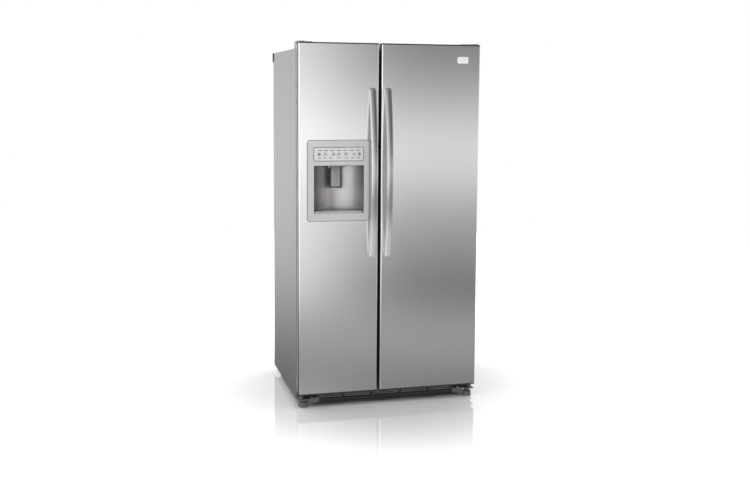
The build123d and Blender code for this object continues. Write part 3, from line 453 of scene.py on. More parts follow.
def soften(name, width, segments):
    """Rounds the edges of a CAD node that keeps its own shape."""
    shown = NODES[name]
    weld = shown.modifiers.new("weld", "WELD")
    weld.merge_threshold = 0.01 * MM
    bevel = shown.modifiers.new("soft_edges", "BEVEL")
    bevel.width = width
    bevel.segments = segments
    bevel.limit_method = "ANGLE"
    bevel.angle_limit = radians(35)
    bevel.harden_normals = True


# ---- CAD nodes that keep their own shape

KEPT_SHAPES = {
    "stainless": ("freezer_door_skin", "fridge_door_skin"),
    "side_paint": ("cabinet_shell", "centre_mullion"),
    "galvanised": ("base_pan", "back_panel", "rear_cover"),
    "dark_plastic": ("freezer_door_caps", "fridge_door_caps", "toe_grille", "wall_spacers", "power_inlet",
                     "condenser_fan"),
    "grey_plastic": ("hinge_covers",),
    "hinge_steel": ("top_hinges",),
    "bracket_paint": ("bottom_hinges",),
    "silver_plastic": ("dispenser_bezel",),
    "recess_steel": ("dispenser_housing",),
    "panel_face": ("control_panel",),
    "tray_grid": ("drip_tray",),
    "white_liner": ("water_valve", "ice_maker", "evaporator_cover", "evaporator_fan"),
    "clear_plastic": ("ice_bin",),
    "coil_metal": ("ice_auger", "evaporator"),
    "motor_steel": ("fan_motors",),
    "black_enamel": ("condenser_coil",),
    "foam": ("cabinet_foam", "freezer_door_foam", "fridge_door_foam"),
}
# How wide the edges of some of them are rounded.
SOFT_EDGES = {
    "freezer_door_caps": 1 * MM, "fridge_door_caps": 1 * MM, "dispenser_bezel": 1.4 * MM,
    "drip_tray": 0.6 * MM, "wall_spacers": 3 * MM, "hinge_covers": 1 * MM, "bottom_hinges": 0.8 * MM,
    "toe_grille": 0.8 * MM, "base_pan": 0.4 * MM, "ice_maker": 1.2 * MM, "evaporator_cover": 0.8 * MM,
    "condenser_fan": 0.5 * MM,
}
ROUNDER = ("dispenser_bezel", "wall_spacers", "hinge_covers")  # three steps to an edge, not two


def kept_shapes():
    for material, names in KEPT_SHAPES.items():
        for name in names:
            paint(NODES[name], material)
    for name, width in SOFT_EDGES.items():
        soften(name, width, 3 if name in ROUNDER else 2)


# ---- doors


def handle(side):
    """Bowed bar: rounded sections stacked upwards, with a foot at each end and round end corners."""
    name = f"{side}_door_handle"
    x, y, z = sides(name)
    middle, half = middle_of(z), (z[1] - z[0]) / 2
    end_depth, foot, thick, thinnest = 12 * MM, 44 * MM, 19 * MM, 4 * MM
    side_rounding, front_rounding = 12 * MM, 9 * MM
    front_corner, back_corner, foot_corner = 5.5 * MM, 5 * MM, 1 * MM
    bow, gap_bow = (y[1] - end_depth) - y[0], (y[1] - y[0]) - thick

    def rounding(to_end, radius):
        """How far an edge has come in at a distance from the end."""
        left = max(0.0, radius - to_end)
        return radius - sqrt(max(0.0, radius ** 2 - left ** 2))

    def section(at, is_foot):
        to_end = half - abs(at - middle)
        front = y[0] + bow * ((at - middle) / half) ** 2 + rounding(to_end, front_rounding)
        back = y[1]
        if not is_foot:
            back -= gap_bow * (1 - ((at - middle) / (half - foot)) ** 2)
        corners = (front_corner, foot_corner if is_foot else back_corner)
        return (grown(x, -rounding(to_end, side_rounding)), (front, max(back, front + thinnest)), corners, at)

    end_steps, bow_steps, toe = 8, 40, 0.5 * MM  # toe is the height over which a foot turns into the bar
    span_z = z[1] - z[0] - 2 * foot
    turns = [pi / 2 * i / end_steps for i in range(end_steps + 1)]
    stations = [(z[0] + side_rounding * (1 - cos(turn)), True) for turn in turns]
    stations += [(z[0] + foot, True), (z[0] + foot + toe, False)]
    stations += [(z[0] + foot + span_z * i / bow_steps, False) for i in range(1, bow_steps)]
    stations += [(z[1] - foot - toe, False), (z[1] - foot, True)]
    stations += [(z[1] - side_rounding * (1 - sin(turn)), True) for turn in turns]
    bm = loft([section(*station) for station in stations], FLAT, 5)
    piece(f"{side}_handle_bar", bm, "handle_steel", f"{side}_door", (name,), 50)


def gasket(door):
    """Ribbed seal: a bellows profile carried round the door."""
    name = f"{door}_gasket"
    x, y, z = sides(name)
    width, waist, corner = 22 * MM, 3 * MM, 26 * MM
    outer_side = [(waist, 0), (0, 0.25), (0, 0.4), (waist, 0.5), (0, 0.62), (0, 0.9)]
    inner_side = [(width - inset, share) for inset, share in reversed(outer_side)]
    profile = [*outer_side, (1.5 * MM, 1), (width - 2 * MM, 1), *inner_side]
    shaped = [(inset, y[0] + share * (y[1] - y[0])) for inset, share in profile]
    bm = loft(inset_sections(x, z, corner, shaped), FRONT, 4, closed=True)
    piece(f"{door}_seal", bm, "gasket_rubber", door, (name,), 60)


def gap_shade_strip(door, x):
    """Painted shade: a dark strip over the edge of the inner panel, on the side that faces the other door,
    where the gap between the doors lies in shade.
    """
    bm = slab(GAP_SHADE_Y, GAP_SHADE_Z, x, 1 * MM, 0.2 * MM, ACROSS, 2)
    piece(f"{door}_gap_shade_strip", bm, "dark_plastic", door)


def terraces(x_lines, z_lines, level):
    """A stepped sheet that faces +Y: one flat cell per pair of lines, with upright walls between levels."""
    bm = bmesh.new()
    seen = {}

    def vert(x, y, z):
        key = (round(x, 6), round(y, 6), round(z, 6))
        if key not in seen:
            seen[key] = bm.verts.new(key)
        return seen[key]

    def wall(x0, z0, x1, z1, low, high):
        cuts = sorted({y for y in heights if min(low, high) <= y <= max(low, high)})
        for a, b in zip(cuts, cuts[1:]):
            bm.faces.new((vert(x0, a, z0), vert(x1, a, z1), vert(x1, b, z1), vert(x0, b, z0)))

    grid = [[level((x0 + x1) / 2, (z0 + z1) / 2) for z0, z1 in zip(z_lines, z_lines[1:])]
            for x0, x1 in zip(x_lines, x_lines[1:])]
    heights = {y for row in grid for y in row}
    for i, row in enumerate(grid):
        for j, y in enumerate(row):
            x0, x1, z0, z1 = x_lines[i], x_lines[i + 1], z_lines[j], z_lines[j + 1]
            bm.faces.new((vert(x0, y, z0), vert(x1, y, z0), vert(x1, y, z1), vert(x0, y, z1)))
            if i + 1 < len(grid) and grid[i + 1][j] != y:
                wall(x1, z0, x1, z1, y, grid[i + 1][j])
            if j + 1 < len(row) and row[j + 1] != y:
                wall(x0, z1, x1, z1, y, row[j + 1])
    return bm


def door_liner(door, platform_x, dyke_x, bulge=None):
    """Thermoformed inner panel: rim, raised platform, bin dykes and, on one door, the dispenser bulge."""
    name = f"{door}_liner"
    x, y, z = sides(name)
    rim = y[0] + 15 * MM
    platform, dyke = rim + 25 * MM, rim + 70 * MM
    x_lines = {*x, *platform_x, *dyke_x[0], *dyke_x[1]}
    z_lines = {*z, *PLATFORM_Z, *DYKE_Z}
    if bulge:
        x_lines |= set(bulge[0])
        z_lines |= set(bulge[2])

    def inside(value, pair):
        return pair[0] < value < pair[1]

    def level(at_x, at_z):
        if bulge and inside(at_x, bulge[0]) and inside(at_z, bulge[2]):
            return bulge[1]
        if inside(at_z, DYKE_Z) and any(inside(at_x, pair) for pair in dyke_x):
            return dyke
        if inside(at_x, platform_x) and inside(at_z, PLATFORM_Z):
            return platform
        return rim

    bm = terraces(sorted(x_lines), sorted(z_lines), level)
    border = [edge for edge in bm.edges if edge.is_boundary]
    skirt = bmesh.ops.extrude_edge_only(bm, edges=border)["geom"]
    for vert in (made for made in skirt if isinstance(made, bmesh.types.BMVert)):
        vert.co.y = y[0]
    bmesh.ops.recalc_face_normals(bm, faces=bm.faces)
    corners = [edge for edge in bm.edges if edge.calc_face_angle(0) > radians(30)]
    bmesh.ops.bevel(bm, geom=corners, offset=4 * MM, segments=3, profile=0.5, affect="EDGES",
                    clamp_overlap=True)
    made = piece(f"{door}_inner_panel", bm, "white_liner", door, (name,), 60)
    thicken(made, sum(face.area * face.normal.y for face in made.data.polygons) > 0)


def door_bins(door, x, back, height, floors):
    """Clear bins, each with a rail along the side that faces out of the door."""
    for number, floor in enumerate(floors, 1):
        top = floor + height
        bm = tray(x, (BIN_FRONT, back), (floor, top), 9 * MM, 2.6 * MM, 2 * MM)
        stands_for = (f"{door}_bins",) if number == 1 else ()
        piece(f"{door}_bin_{number}", bm, "clear_plastic", door, stands_for)
        rail_y, rail_z = (back - 2.9 * MM, back - 0.1 * MM), (top - 34 * MM, top - 12 * MM)
        rail = slab(grown(x, -12 * MM), rail_z, rail_y, 8 * MM, 1 * MM, FRONT)
        piece(f"{door}_bin_rail_{number}", rail, "shelf_trim", door)


def dairy_compartment():
    """White hood over the dairy shelf, open to the inside of the refrigerator."""
    near, far = DAIRY_Y
    wall, rounding, lip = 3 * MM, 3 * MM, 1 * MM
    profile = [(4 * MM, near), (0, near + rounding), (0, far - lip), (lip, far), (wall - 0.5 * MM, far),
               (wall, far - lip), (wall, near + wall + rounding), (wall + rounding, near + wall)]
    bm = loft(inset_sections(DAIRY_X, DAIRY_Z, 7 * MM, profile), FRONT, 5)
    piece("dairy_compartment", bm, "white_liner", "fridge_door")


def dairy_cover():
    """The hood's clear flap, with a grip, and two arms to its pivot rod."""
    x, y, z = sides("dairy_flap")
    flap_y, grip_y = (y[0] + 2 * MM, y[0] + 4.6 * MM), (y[0] + 4 * MM, y[0] + 6 * MM)
    arm_y, arm_z = (y[0] + 1.5 * MM, y[0] + 4.8 * MM), (z[1] - 12 * MM, z[1] - 3 * MM)
    flap = slab(grown(x, -6 * MM), (z[0], z[1] - 8 * MM), flap_y, 6 * MM, 1 * MM, FRONT)
    inset = 2.8 * MM  # the rod ends just inside the hood's side walls
    hinge = rod((x[0] + inset, y[0] + 3 * MM, z[1] - 3 * MM), x[1] - x[0] - 2 * inset)
    grip = slab(grown(x, -130 * MM), (z[0] + 1 * MM, z[0] + 9 * MM), grip_y, 4 * MM, 0.8 * MM, FRONT)
    arms = [slab(arm_x, arm_z, arm_y, 2 * MM, 0.6 * MM, FRONT)
            for arm_x in ((x[0] + 20 * MM, x[0] + 30 * MM), (x[1] - 30 * MM, x[1] - 20 * MM))]
    piece("dairy_cover", joined([flap, hinge, grip, *arms]), "clear_plastic", "dairy_flap",
          ("dairy_flap",))


# ---- dispenser


def dispenser():
    """What is finer than the CAD, which stays as the bezel, panel, recess and tray."""
    painted_tray_shade()
    lever()
    keys()
    panel_prints()
    spout()


def painted_tray_shade():
    """Painted shade: a dark line round the back of the drip tray, where the gap to the recess lies in shade.
    """
    x, y, z = sides("drip_tray")
    half, depth = (x[1] - x[0]) / 2, y[1] - y[0]
    radius = (half * half + depth * depth) / (2 * depth)
    centre = Vector((middle_of(x), y[1] - radius, 0))
    reach, steps = asin(half / radius), 40
    inner, outer, low, high = radius - 3 * MM, radius + 1.5 * MM, z[1] - 0.5 * MM, z[1] + 0.7 * MM
    bm = bmesh.new()
    loops = []
    for i in range(steps + 1):
        turn = reach * (2 * i / steps - 1)
        outwards = Vector((sin(turn), cos(turn), 0))
        corners = ((inner, low), (outer, low), (outer, high), (inner, high))
        loops.append([bm.verts.new(centre + outwards * at + Vector((0, 0, level))) for at, level in corners])
    bridge(bm, loops, closed=False)
    piece("painted_tray_shade", bm, "dark_plastic", "freezer_door")


def lever():
    """Cradle paddle: a dark frame with a lighter pad and lip, hung from its pivot rod."""
    x, y, z = sides("dispenser_lever")
    front, face = y[1] - 4 * MM, y[1] - 2.6 * MM  # the pad's front, and the paddle's that it stands on
    corner, rim_width = 4 * MM, 6.5 * MM
    paddle_x, paddle_z = grown(x, -6 * MM), (z[0] + 3 * MM, z[1] - 1 * MM)
    paddle = slab(paddle_x, paddle_z, (face, y[1]), corner, 0.8 * MM, FRONT)
    pivot = rod((x[0], y[1] - 3 * MM, z[1] - 3 * MM), x[1] - x[0])
    piece("lever_paddle", joined([paddle, pivot]), "lever_pad", "dispenser_lever",
          ("dispenser_lever",))
    rim_front, rim_back = front + 0.6 * MM, front + 2 * MM
    rim = [(0, rim_back), (0.4 * MM, rim_front), (rim_width, rim_front), (rim_width, rim_back)]
    outline = loft(inset_sections(paddle_x, paddle_z, corner, rim), FRONT, 5, closed=True)
    piece("lever_rim", outline, "dark_plastic", "dispenser_lever")
    pad_x, pad_z = grown(paddle_x, -6.8 * MM), (z[0] + 12 * MM, z[1] - 6 * MM)
    pad = plate(pad_x, pad_z, (front, front + 1.2 * MM), 2 * MM, 0.8 * MM, FRONT)
    piece("lever_pad", pad, "lever_pad", "dispenser_lever")
    lip = slab(grown(paddle_x, -2 * MM), (z[0], z[0] + 5 * MM), (y[0], face), 2 * MM, 1 * MM, FRONT)
    piece("lever_lip", lip, "silver_plastic", "dispenser_lever")


def keys():
    """Key caps with a soft edge, a collar behind the panel, and a ring or two bars on each."""
    collar_width, collar_depth = 1.5 * MM, 1.2 * MM
    for number in range(1, 5):
        name = f"key_{number}"
        x, y, z = sides(name)
        cap_back = y[1] - collar_depth
        cap = plate(grown(x, -collar_width), grown(z, -collar_width), (y[0] + 0.2 * MM, cap_back), 4 * MM,
                    0.7 * MM, FRONT)
        collar = slab(x, z, (cap_back, y[1]), 5 * MM, 0.3 * MM, FRONT)
        piece(f"key_cap_{number}", joined([cap, collar]), "key_face", name, (name,))
        reach = (z[1] - z[0]) / 2 - 2.4 * MM
        mark = key_mark(number, (middle_of(x), middle_of(z)), y[0], reach)
        piece(f"key_mark_{number}", mark, "print_dark", name)


def ring_mark(centre, front, radius, line):
    """A thin raised ring on a front face."""
    u, v = around(centre[0], radius), around(centre[1], radius)
    profile = [(0, front + PRINT), (0, front), (line, front), (line, front + PRINT)]
    return loft(inset_sections(u, v, radius, profile), FRONT, 6, closed=True)


def bar_mark(centre, front, size):
    """A thin raised bar on a front face."""
    u, v = around(centre[0], size[0] / 2), around(centre[1], size[1] / 2)
    return plate(u, v, (front, front + PRINT), 0.4 * MM, 0.1 * MM, FRONT, 2)


def key_mark(number, centre, front, reach):
    """A ring or a pair of bars that stays within a reach of the key's centre."""
    if number in (2, 3):
        return ring_mark(centre, front, reach, 0.45 * reach)
    return joined([bar_mark((centre[0], centre[1] + i * 0.5 * reach), front, (1.9 * reach, 0.35 * reach))
                   for i in (-1, 1)])


def panel_prints():
    """Generic signs: a framed mark at each end, two bars in the middle, and a row of bars above and below."""
    x, y, z = sides("control_panel")
    front = y[0] - PRINT
    middle, row = middle_of(z), 18 * MM
    parts = []
    for at in mm(-350, -155):
        parts.append(ring_mark((at, middle), front, 8 * MM, 2.4 * MM))
        parts.append(bar_mark((at, middle), front, mm(6, 6)))
    for at in mm(-259, -251):
        parts.append(bar_mark((at, middle), front, mm(3, 15)))
    for at in mm(-346, -318, -286, -255, -224, -192, -164):
        parts.append(bar_mark((at, middle + row), front, mm(20, 3)))
    for at in mm(-350, -322, -294, -255, -216, -188, -160):
        parts.append(bar_mark((at, middle - row), front, mm(15, 3)))
    piece("panel_signs", joined(parts), "print_dark", "freezer_door")
    frame_line(x, z, 8 * MM, 3 * MM, (y[0], front), "panel_outline")
    # Round the bezel: a dark line that is partly its joint with the door and partly painted shade in that
    # gap.
    bezel_x, _, bezel_z = sides("dispenser_bezel")
    line, line_y = 2.6 * MM, mm(-341, -342)
    frame_line(grown(bezel_x, line), grown(bezel_z, line), 14 * MM, line, line_y, "bezel_seam_and_shade")
    # Painted shade: a dark line just inside the recess opening, along its top and sides, where they lie in
    # shade.
    frame_line(RECESS_X, RECESS_Z, 3 * MM, 2 * MM, mm(-337, -341), "recess_shade_line")


def frame_line(x, z, radius, line, y, name):
    """A thin dark line round a rectangle, between two y values."""
    profile = [(0, y[0]), (0, y[1]), (line, y[1]), (line, y[0])]
    bm = loft(inset_sections(x, z, radius, profile), FRONT, 5, closed=True)
    piece(name, bm, "seam", "freezer_door")


def spout():
    """Short funnel under the ice chute, with a water nozzle beside it, in the roof of the recess."""
    x, _, z = sides("dispenser_lever")
    roof, depth = z[1] + 5.8 * MM, 5 * MM
    centre_x, chute_y = middle_of(x), mm(-315, -277)
    profile = [(0, roof), (2 * MM, roof - depth), (4 * MM, roof - depth), (3 * MM, roof)]
    funnel = loft(inset_sections(around(centre_x, 34 * MM), chute_y, 14 * MM, profile), FLAT, 6, closed=True)
    piece("ice_funnel", funnel, "dark_plastic", "freezer_door")
    radius, bore = 5 * MM, 2.2 * MM
    tube = [(radius, 0), (radius, 3 * MM), (3 * MM, depth), (bore, depth), (bore, 1 * MM)]
    nozzle = lathe(tube, (centre_x + 46 * MM, middle_of(chute_y), roof), DOWN, 20)
    piece("water_nozzle", nozzle, "dark_plastic", "freezer_door")


# ---- cabinet outside


def cabinet_outside():
    rear_screws()
    badge()
    for side in ("left", "right"):
        foot(side)
        roller(side)


def badge():
    """Blank crowned plate with a raised rim."""
    x, (front, back), z = sides("badge")
    valley = front + 0.5 * MM
    profile = [(0, back), (0, valley), (0.4 * MM, front), (1.4 * MM, front), (1.9 * MM, valley),
               (3 * MM, valley), (9 * MM, front + 0.2 * MM)]
    piece("badge_plate", loft(inset_sections(x, z, 6 * MM, profile), FRONT, 8), "badge_metal", "fridge_door",
          ("badge",), 50)


def foot(side):
    """Levelling foot: ribbed pad, hexagon and threaded stem."""
    name = f"foot_{side}"
    x, y, z = sides(name)
    centre = (middle_of(x), middle_of(y), z[0])
    radius = (x[1] - x[0]) / 2
    pad = [(0.86, 0), (0.97, 1), (1.0, 2.5)]  # shares of the radius, and heights in millimetres
    for groove in (6, 14):
        pad += [(1.0, groove), (0.96, groove + 0.5), (0.96, groove + 2), (1.0, groove + 2.5)]
    pad += [(1.0, 21), (0.97, 22.5), (0.82, 26)]
    body = lathe([(radius * share, height * MM) for share, height in pad], centre, UP, 40)
    nut = turned([(11.5, 26), (13, 27), (13, 33), (11.5, 34)], centre, 6)
    pitch, root, crest, start = 1.5 * MM, 4.9 * MM, 6 * MM, 34 * MM  # the thread starts on top of the nut
    thread = [(root, start)]
    for i in range(int((z[1] - z[0] - start - 1 * MM) / pitch)):
        low = start + i * pitch
        thread += [(root, low + 0.1 * MM), (crest, low + pitch / 2), (root, low + pitch - 0.1 * MM)]
    stem = lathe(thread, centre, UP, 24)
    piece(f"levelling_{name}", joined([body, nut, stem]), "bracket_paint", name, (name,))


def roller(side):
    """Rear roller with a tyre groove, a dished hub and its axle."""
    name = f"roller_{side}"
    x, y, z = sides(name)
    centre = (x[0], middle_of(y), middle_of(z))
    radius, width = (z[1] - z[0]) / 2, x[1] - x[0]
    edge = (width - 18 * MM) / 2  # the tyre is 18 mm wide, and the axle sticks out on both sides
    dish = edge + 2 * MM
    half = [(3 * MM, 0), mm(4, 0.6), (4 * MM, edge), (9 * MM, edge), (10 * MM, dish), (15 * MM, dish),
            (16.5 * MM, edge), (18.5 * MM, edge), (20 * MM, edge + 1.5 * MM),
            (radius, width / 2 - 3 * MM), (radius - 1.2 * MM, width / 2 - 1.5 * MM)]
    mirrored = [(r, width - along) for r, along in reversed(half)]
    wheel = lathe(half + mirrored, centre, RIGHT, 40)
    piece(f"rear_{name}", wheel, "dark_plastic", name, (name,))


def screw_head(centre):
    """Pan head with a recess, on a surface that faces backwards."""
    radius = 4.2 * MM
    profile = [(radius, 0), (radius, 0.9 * MM), (radius * 0.8, 1.9 * MM), (radius * 0.45, 2.2 * MM),
               (radius * 0.38, 1.2 * MM)]
    return lathe(profile, centre, BACKWARDS, 20)


def rear_screws():
    """Rows of screws round the back panel and the lower rear cover."""
    x, y, z = sides("back_panel")
    cover_z = sides("rear_cover")[2]
    row = grown(x, -20 * MM)
    places = []
    for height in (z[0] + 12 * MM, z[1] - 14 * MM, cover_z[0] + 12 * MM, cover_z[1] - 12 * MM):
        places += [(row[0] + (row[1] - row[0]) * i / 5, y[1], height) for i in range(6)]
    for edge in grown(x, -10 * MM):
        places += [(edge, y[1], z[0] + (z[1] - z[0]) * i / 6) for i in range(1, 6)]
    heads = [screw_head(place) for place in places]
    piece("rear_screws", joined(heads), "coil_metal", "cabinet")


# ---- inside


def cavity_tub(side, x):
    """Moulded tub with round corners and a raised floor at the back."""
    name = f"{side}_liner"
    front, end = sides(name)[1]
    back = end - 2 * MM
    floor, top = CAVITY_Z
    raised = (STEP_TOP, top)
    radius, lip, turn = 14 * MM, 6 * MM, 1.5 * MM
    part = 0.3 * radius  # a point on the way round an edge
    sections = [
        (grown(x, lip), (floor - 0.5 * MM, top + lip), radius, front),
        (grown(x, turn), (floor, top + turn), radius, front),
        (x, CAVITY_Z, radius, front + 2 * MM),
        (x, CAVITY_Z, radius, STEP_FRONT - radius),
        (x, CAVITY_Z, radius, STEP_FRONT - part),
        (x, (floor + part, top), radius, STEP_FRONT),
        (x, raised, radius, STEP_FRONT),
        (x, raised, radius, back - radius),
        (grown(x, -part), grown(raised, -part), radius, back - part),
        (grown(x, -radius), grown(raised, -radius), radius, back),
    ]
    bm = loft(sections, FRONT, 5)
    mouth = [face for face in bm.faces
             if len(face.verts) > 4 and all(abs(vert.co.y - front) < 1e-6 for vert in face.verts)]
    bmesh.ops.delete(bm, geom=mouth, context="FACES_ONLY")
    made = piece(f"{side}_tub", bm, "white_liner", "cabinet", (name,), 50)
    centre = Vector((middle_of(x), 0, middle_of(CAVITY_Z)))
    inward = sum(face.area * face.normal.dot(centre - face.center) for face in made.data.polygons)
    thicken(made, inward > 0)


def shelf_set(side, x, levels, back):
    """Glass shelves, each with a bar along the front and the back, and rails at its sides."""
    name = f"{side}_shelves"
    front = sides(name)[1][0]
    bar_x = grown(x, -1 * MM)
    glass_y, rail_y = (front + 9 * MM, back - 12 * MM), (front + 6 * MM, back - 8 * MM)
    front_y, back_y = (front, front + 10 * MM), (back - 14 * MM, back - 4 * MM)
    for number, z in enumerate(levels, 1):
        glass = slab(grown(x, -9 * MM), glass_y, (z + 1 * MM, z + 5 * MM), 3 * MM, 0.8 * MM, FLAT, 3)
        stands_for = (name,) if number == 1 else ()
        piece(f"{side}_shelf_glass_{number}", glass, "shelf_glass", "cabinet", stands_for, 12)
        bars = [bar(bar_x, front_y, (z - 4 * MM, z + 8 * MM), 3 * MM),
                bar(bar_x, back_y, (z - 2 * MM, z + 14 * MM), 2 * MM)]
        for side_x in side_strips(x, 0.5 * MM, 10 * MM):
            bars.append(slab(side_x, rail_y, (z - 2 * MM, z + 6.5 * MM), 2 * MM, 1 * MM, FLAT, 3))
        piece(f"{side}_shelf_trim_{number}", joined(bars), "shelf_trim", "cabinet")


def side_strips(x, near, far):
    """The x pairs of a strip along the left side and one along the right."""
    return ((x[0] + near, x[0] + far), (x[1] - far, x[1] - near))


def shelf_ribs(side, x, levels, back):
    """Ribs along the cavity's sides, below each shelf."""
    ribs, rib_y = [], (-130 * MM, back - 30 * MM)
    for level in levels:
        for side_x in side_strips(x, 0.2 * MM, 6 * MM):
            ribs.append(slab(side_x, rib_y, (level - 12 * MM, level - 5.5 * MM), 2.5 * MM, 1.5 * MM, FLAT, 3))
    piece(f"{side}_shelf_ribs", joined(ribs), "white_liner", "cabinet")


def cavity_lamp(side, x):
    """A lens in the cavity's roof, and the light just below it, which points down and a little back."""
    middle, top = middle_of(x), CAVITY_Z[1]
    length, depth, y = 120 * MM, 60 * MM, -90 * MM
    lens = slab(around(middle, length / 2), around(y, depth / 2), (top - 12 * MM, top - 0.5 * MM), 12 * MM,
                4 * MM, FLAT)
    piece(f"{side}_lamp_lens", lens, "shelf_trim", "cabinet")
    area_light(f"{side}_lamp", (middle, y, top - 15 * MM), (middle, 40 * MM, 0.0), (length, depth), 3.2,
               mirrored=False)


def drawer(name):
    """Clear drawer with a thick front panel and a bar to grip along its top."""
    x, y, z = sides(name)
    front = y[0] + 6 * MM
    box = tray(x, (front + 1 * MM, y[1]), z, 10 * MM, 3 * MM, 2.5 * MM)
    piece(f"{name}_box", box, "clear_plastic", name, (name,))
    face_y, face_z = (front - 2 * MM, front + 4 * MM), (z[0] + 4 * MM, z[1] - 1 * MM)
    face = slab(grown(x, -1 * MM), face_z, face_y, 8 * MM, 1.6 * MM, FRONT)
    grip = bar(grown(x, -80 * MM), (y[0], front + 1 * MM), (z[1] - 18 * MM, z[1] - 3 * MM), 3 * MM)
    piece(f"{name}_face", joined([face, grip]), "shelf_trim", name)


def compressor():
    """Enamelled shell with a welded seam on a pressed foot plate, with its terminal box, mounts and tubes."""
    x, y, z = sides("compressor")
    cx, cy, low = middle_of(x), 275 * MM, z[0]
    shell = [(0.5, 22), (30, 22), (56, 26), (70, 40), (75, 58), (76, 78), (79, 79.5), (79, 83), (76, 84.5),
             (74, 120), (69, 140), (52, 153), (30, 158), (0.5, 160)]
    body = turned(shell, (cx, cy, low), 56)
    plate_z, saddle_z = (low + 12 * MM, low + 15 * MM), (low + 15 * MM, low + 30 * MM)
    base = slab(around(cx, 92 * MM), around(cy, 62 * MM), plate_z, 14 * MM, 1 * MM, FLAT)
    saddle = slab(around(cx, 44 * MM), around(cy, 44 * MM), saddle_z, 12 * MM, 2 * MM, FLAT)
    piece("compressor_shell", joined([body, base, saddle]), "black_enamel", "cabinet",
          ("compressor",), 45)
    box = slab(around(cx, 24 * MM), (y[0] + 1 * MM, y[0] + 34 * MM), (low + 52 * MM, low + 112 * MM), 6 * MM,
               2 * MM, FLAT)
    piece("compressor_terminal_box", box, "dark_plastic", "cabinet")
    grommet = [(8, 0), (11, 1), (11, 4), (8.5, 6), (11, 8), (11, 11.8)]
    corners = [(at_x, at_y) for at_x in around(cx, 80 * MM) for at_y in around(cy, 50 * MM)]
    mounts = [turned(grommet, (*corner, low), 20) for corner in corners]
    piece("compressor_grommets", joined(mounts), "dark_plastic", "cabinet")
    tubes = []
    for right, top in ((-47 * MM, 190), (48 * MM, 174)):
        tubes.append(turned([(4, 100), (4, top - 2), (3, top)], (cx + right, cy + 30 * MM, low), 16))
    piece("compressor_tubes", joined(tubes), "coil_metal", "cabinet")


# ---- studio

# Studio brightness by the z of a direction: in front of the doors, the extra light from the front
# left, and behind the refrigerator. The fade scales the extra light by x, with a dark gap on the
# right, and the blend leads from the front to the back by y.
FRONT_HEIGHTS = ((-0.62, 1.0), (-0.42, 1.0), (-0.35, 0.62), (-0.305, 0.22), (-0.275, 0.26), (-0.25, 0.47),
                 (-0.234, 0.49), (-0.217, 0.40), (-0.19, 0.13), (-0.165, 0.26), (-0.13, 0.40), (-0.10, 0.66),
                 (-0.07, 0.97), (-0.05, 1.0), (-0.02, 0.72), (0.01, 0.42), (0.045, 0.21), (0.10, 0.16),
                 (0.18, 0.12), (0.27, 0.12), (0.45, 0.18), (0.8, 0.4))
LEFT_HEIGHTS = ((-0.45, 0.3), (-0.30, 0.30), (-0.265, 0.0), (-0.228, 0.0), (-0.195, 0.7), (-0.15, 0.78),
                (-0.08, 0.45), (-0.03, 0.6), (0.05, 0.75), (0.3, 0.5), (0.6, 0.2))
LEFT_FADE = ((-1.0, 1.3), (-0.6, 2.0), (-0.2, 2.0), (0.0, 1.3), (0.12, 1.35), (0.165, 1.5), (0.183, 1.42),
             (0.203, 1.06), (0.222, 0.50), (0.241, 0.18), (0.26, 0.04), (0.28, 0.0), (0.33, 0.0), (0.6, 0.8),
             (1.0, 1.2))
BACK_HEIGHTS = ((-0.45, 0.02), (-0.30, 0.01), (-0.24, 0.28), (-0.17, 1.15), (-0.06, 1.45), (0.03, 1.2),
                (0.1, 1.15), (0.2, 1.1), (0.6, 1.05))
BACK_BLEND = ((-0.35, 0.0), (-0.1, 0.1), (0.1, 0.8), (0.3, 1.0))


def floor_paint():
    """Gloss white that is a little greyer round the middle, so that it doesn't outshine its reflections."""
    material = surface("floor_white", (0.9, 0.9, 0.9), 0.035, 300, vary=0.004, bump=0.0, sockets={"IOR": 2.9})
    tree = material.node_tree
    place = tree.nodes.new("ShaderNodeTexCoord")
    reach = tree.nodes.new("ShaderNodeVectorMath")
    reach.operation = "LENGTH"
    tree.links.new(place.outputs["Object"], reach.inputs[0])
    shader = tree.nodes["Principled BSDF"]

    def outwards(near, far, high):
        """Rises from 0 to its high value between two distances from the middle."""
        share = node(tree, "ShaderNodeMapRange", From_Min=near, From_Max=far, To_Max=high)
        share.interpolation_type = "SMOOTHSTEP"
        tree.links.new(reach.outputs["Value"], share.inputs["Value"])
        return share.outputs["Result"]

    tree.links.new(tint(tree, outwards(0.5, 1.7, 1.0), (0.45, 0.45, 0.45), (0.9, 0.9, 0.9)),
                   shader.inputs["Base Color"])
    tree.links.new(outwards(1.8, 4.5, 0.5), shader.inputs["Emission Strength"])
    shader.inputs["Emission Color"].default_value = (1, 1, 1, 1)
    return material


def stage_plane():
    """Pale, slightly glossy round floor."""
    bm = bmesh.new()
    bmesh.ops.create_circle(bm, cap_ends=True, segments=96, radius=FLOOR_RADIUS)
    mesh = bpy.data.meshes.new("floor")
    bm.to_mesh(mesh)
    bm.free()
    floor = added("floor", mesh)
    floor.data.materials.append(floor_paint())
    floor.visible_glossy = False


def area_light(name, place, target, size, power, mirrored=True):
    """A soft light that the camera doesn't see; only a mirrored one shows in glossy surfaces."""
    data = bpy.data.lights.new(name, "AREA")
    data.shape = "RECTANGLE"
    data.size, data.size_y = size
    data.energy = power
    light = added(name, data)
    light.location = place
    light.rotation_euler = (Vector(target) - Vector(place)).to_track_quat("-Z", "Y").to_euler()
    light.visible_camera = False
    light.visible_glossy = mirrored


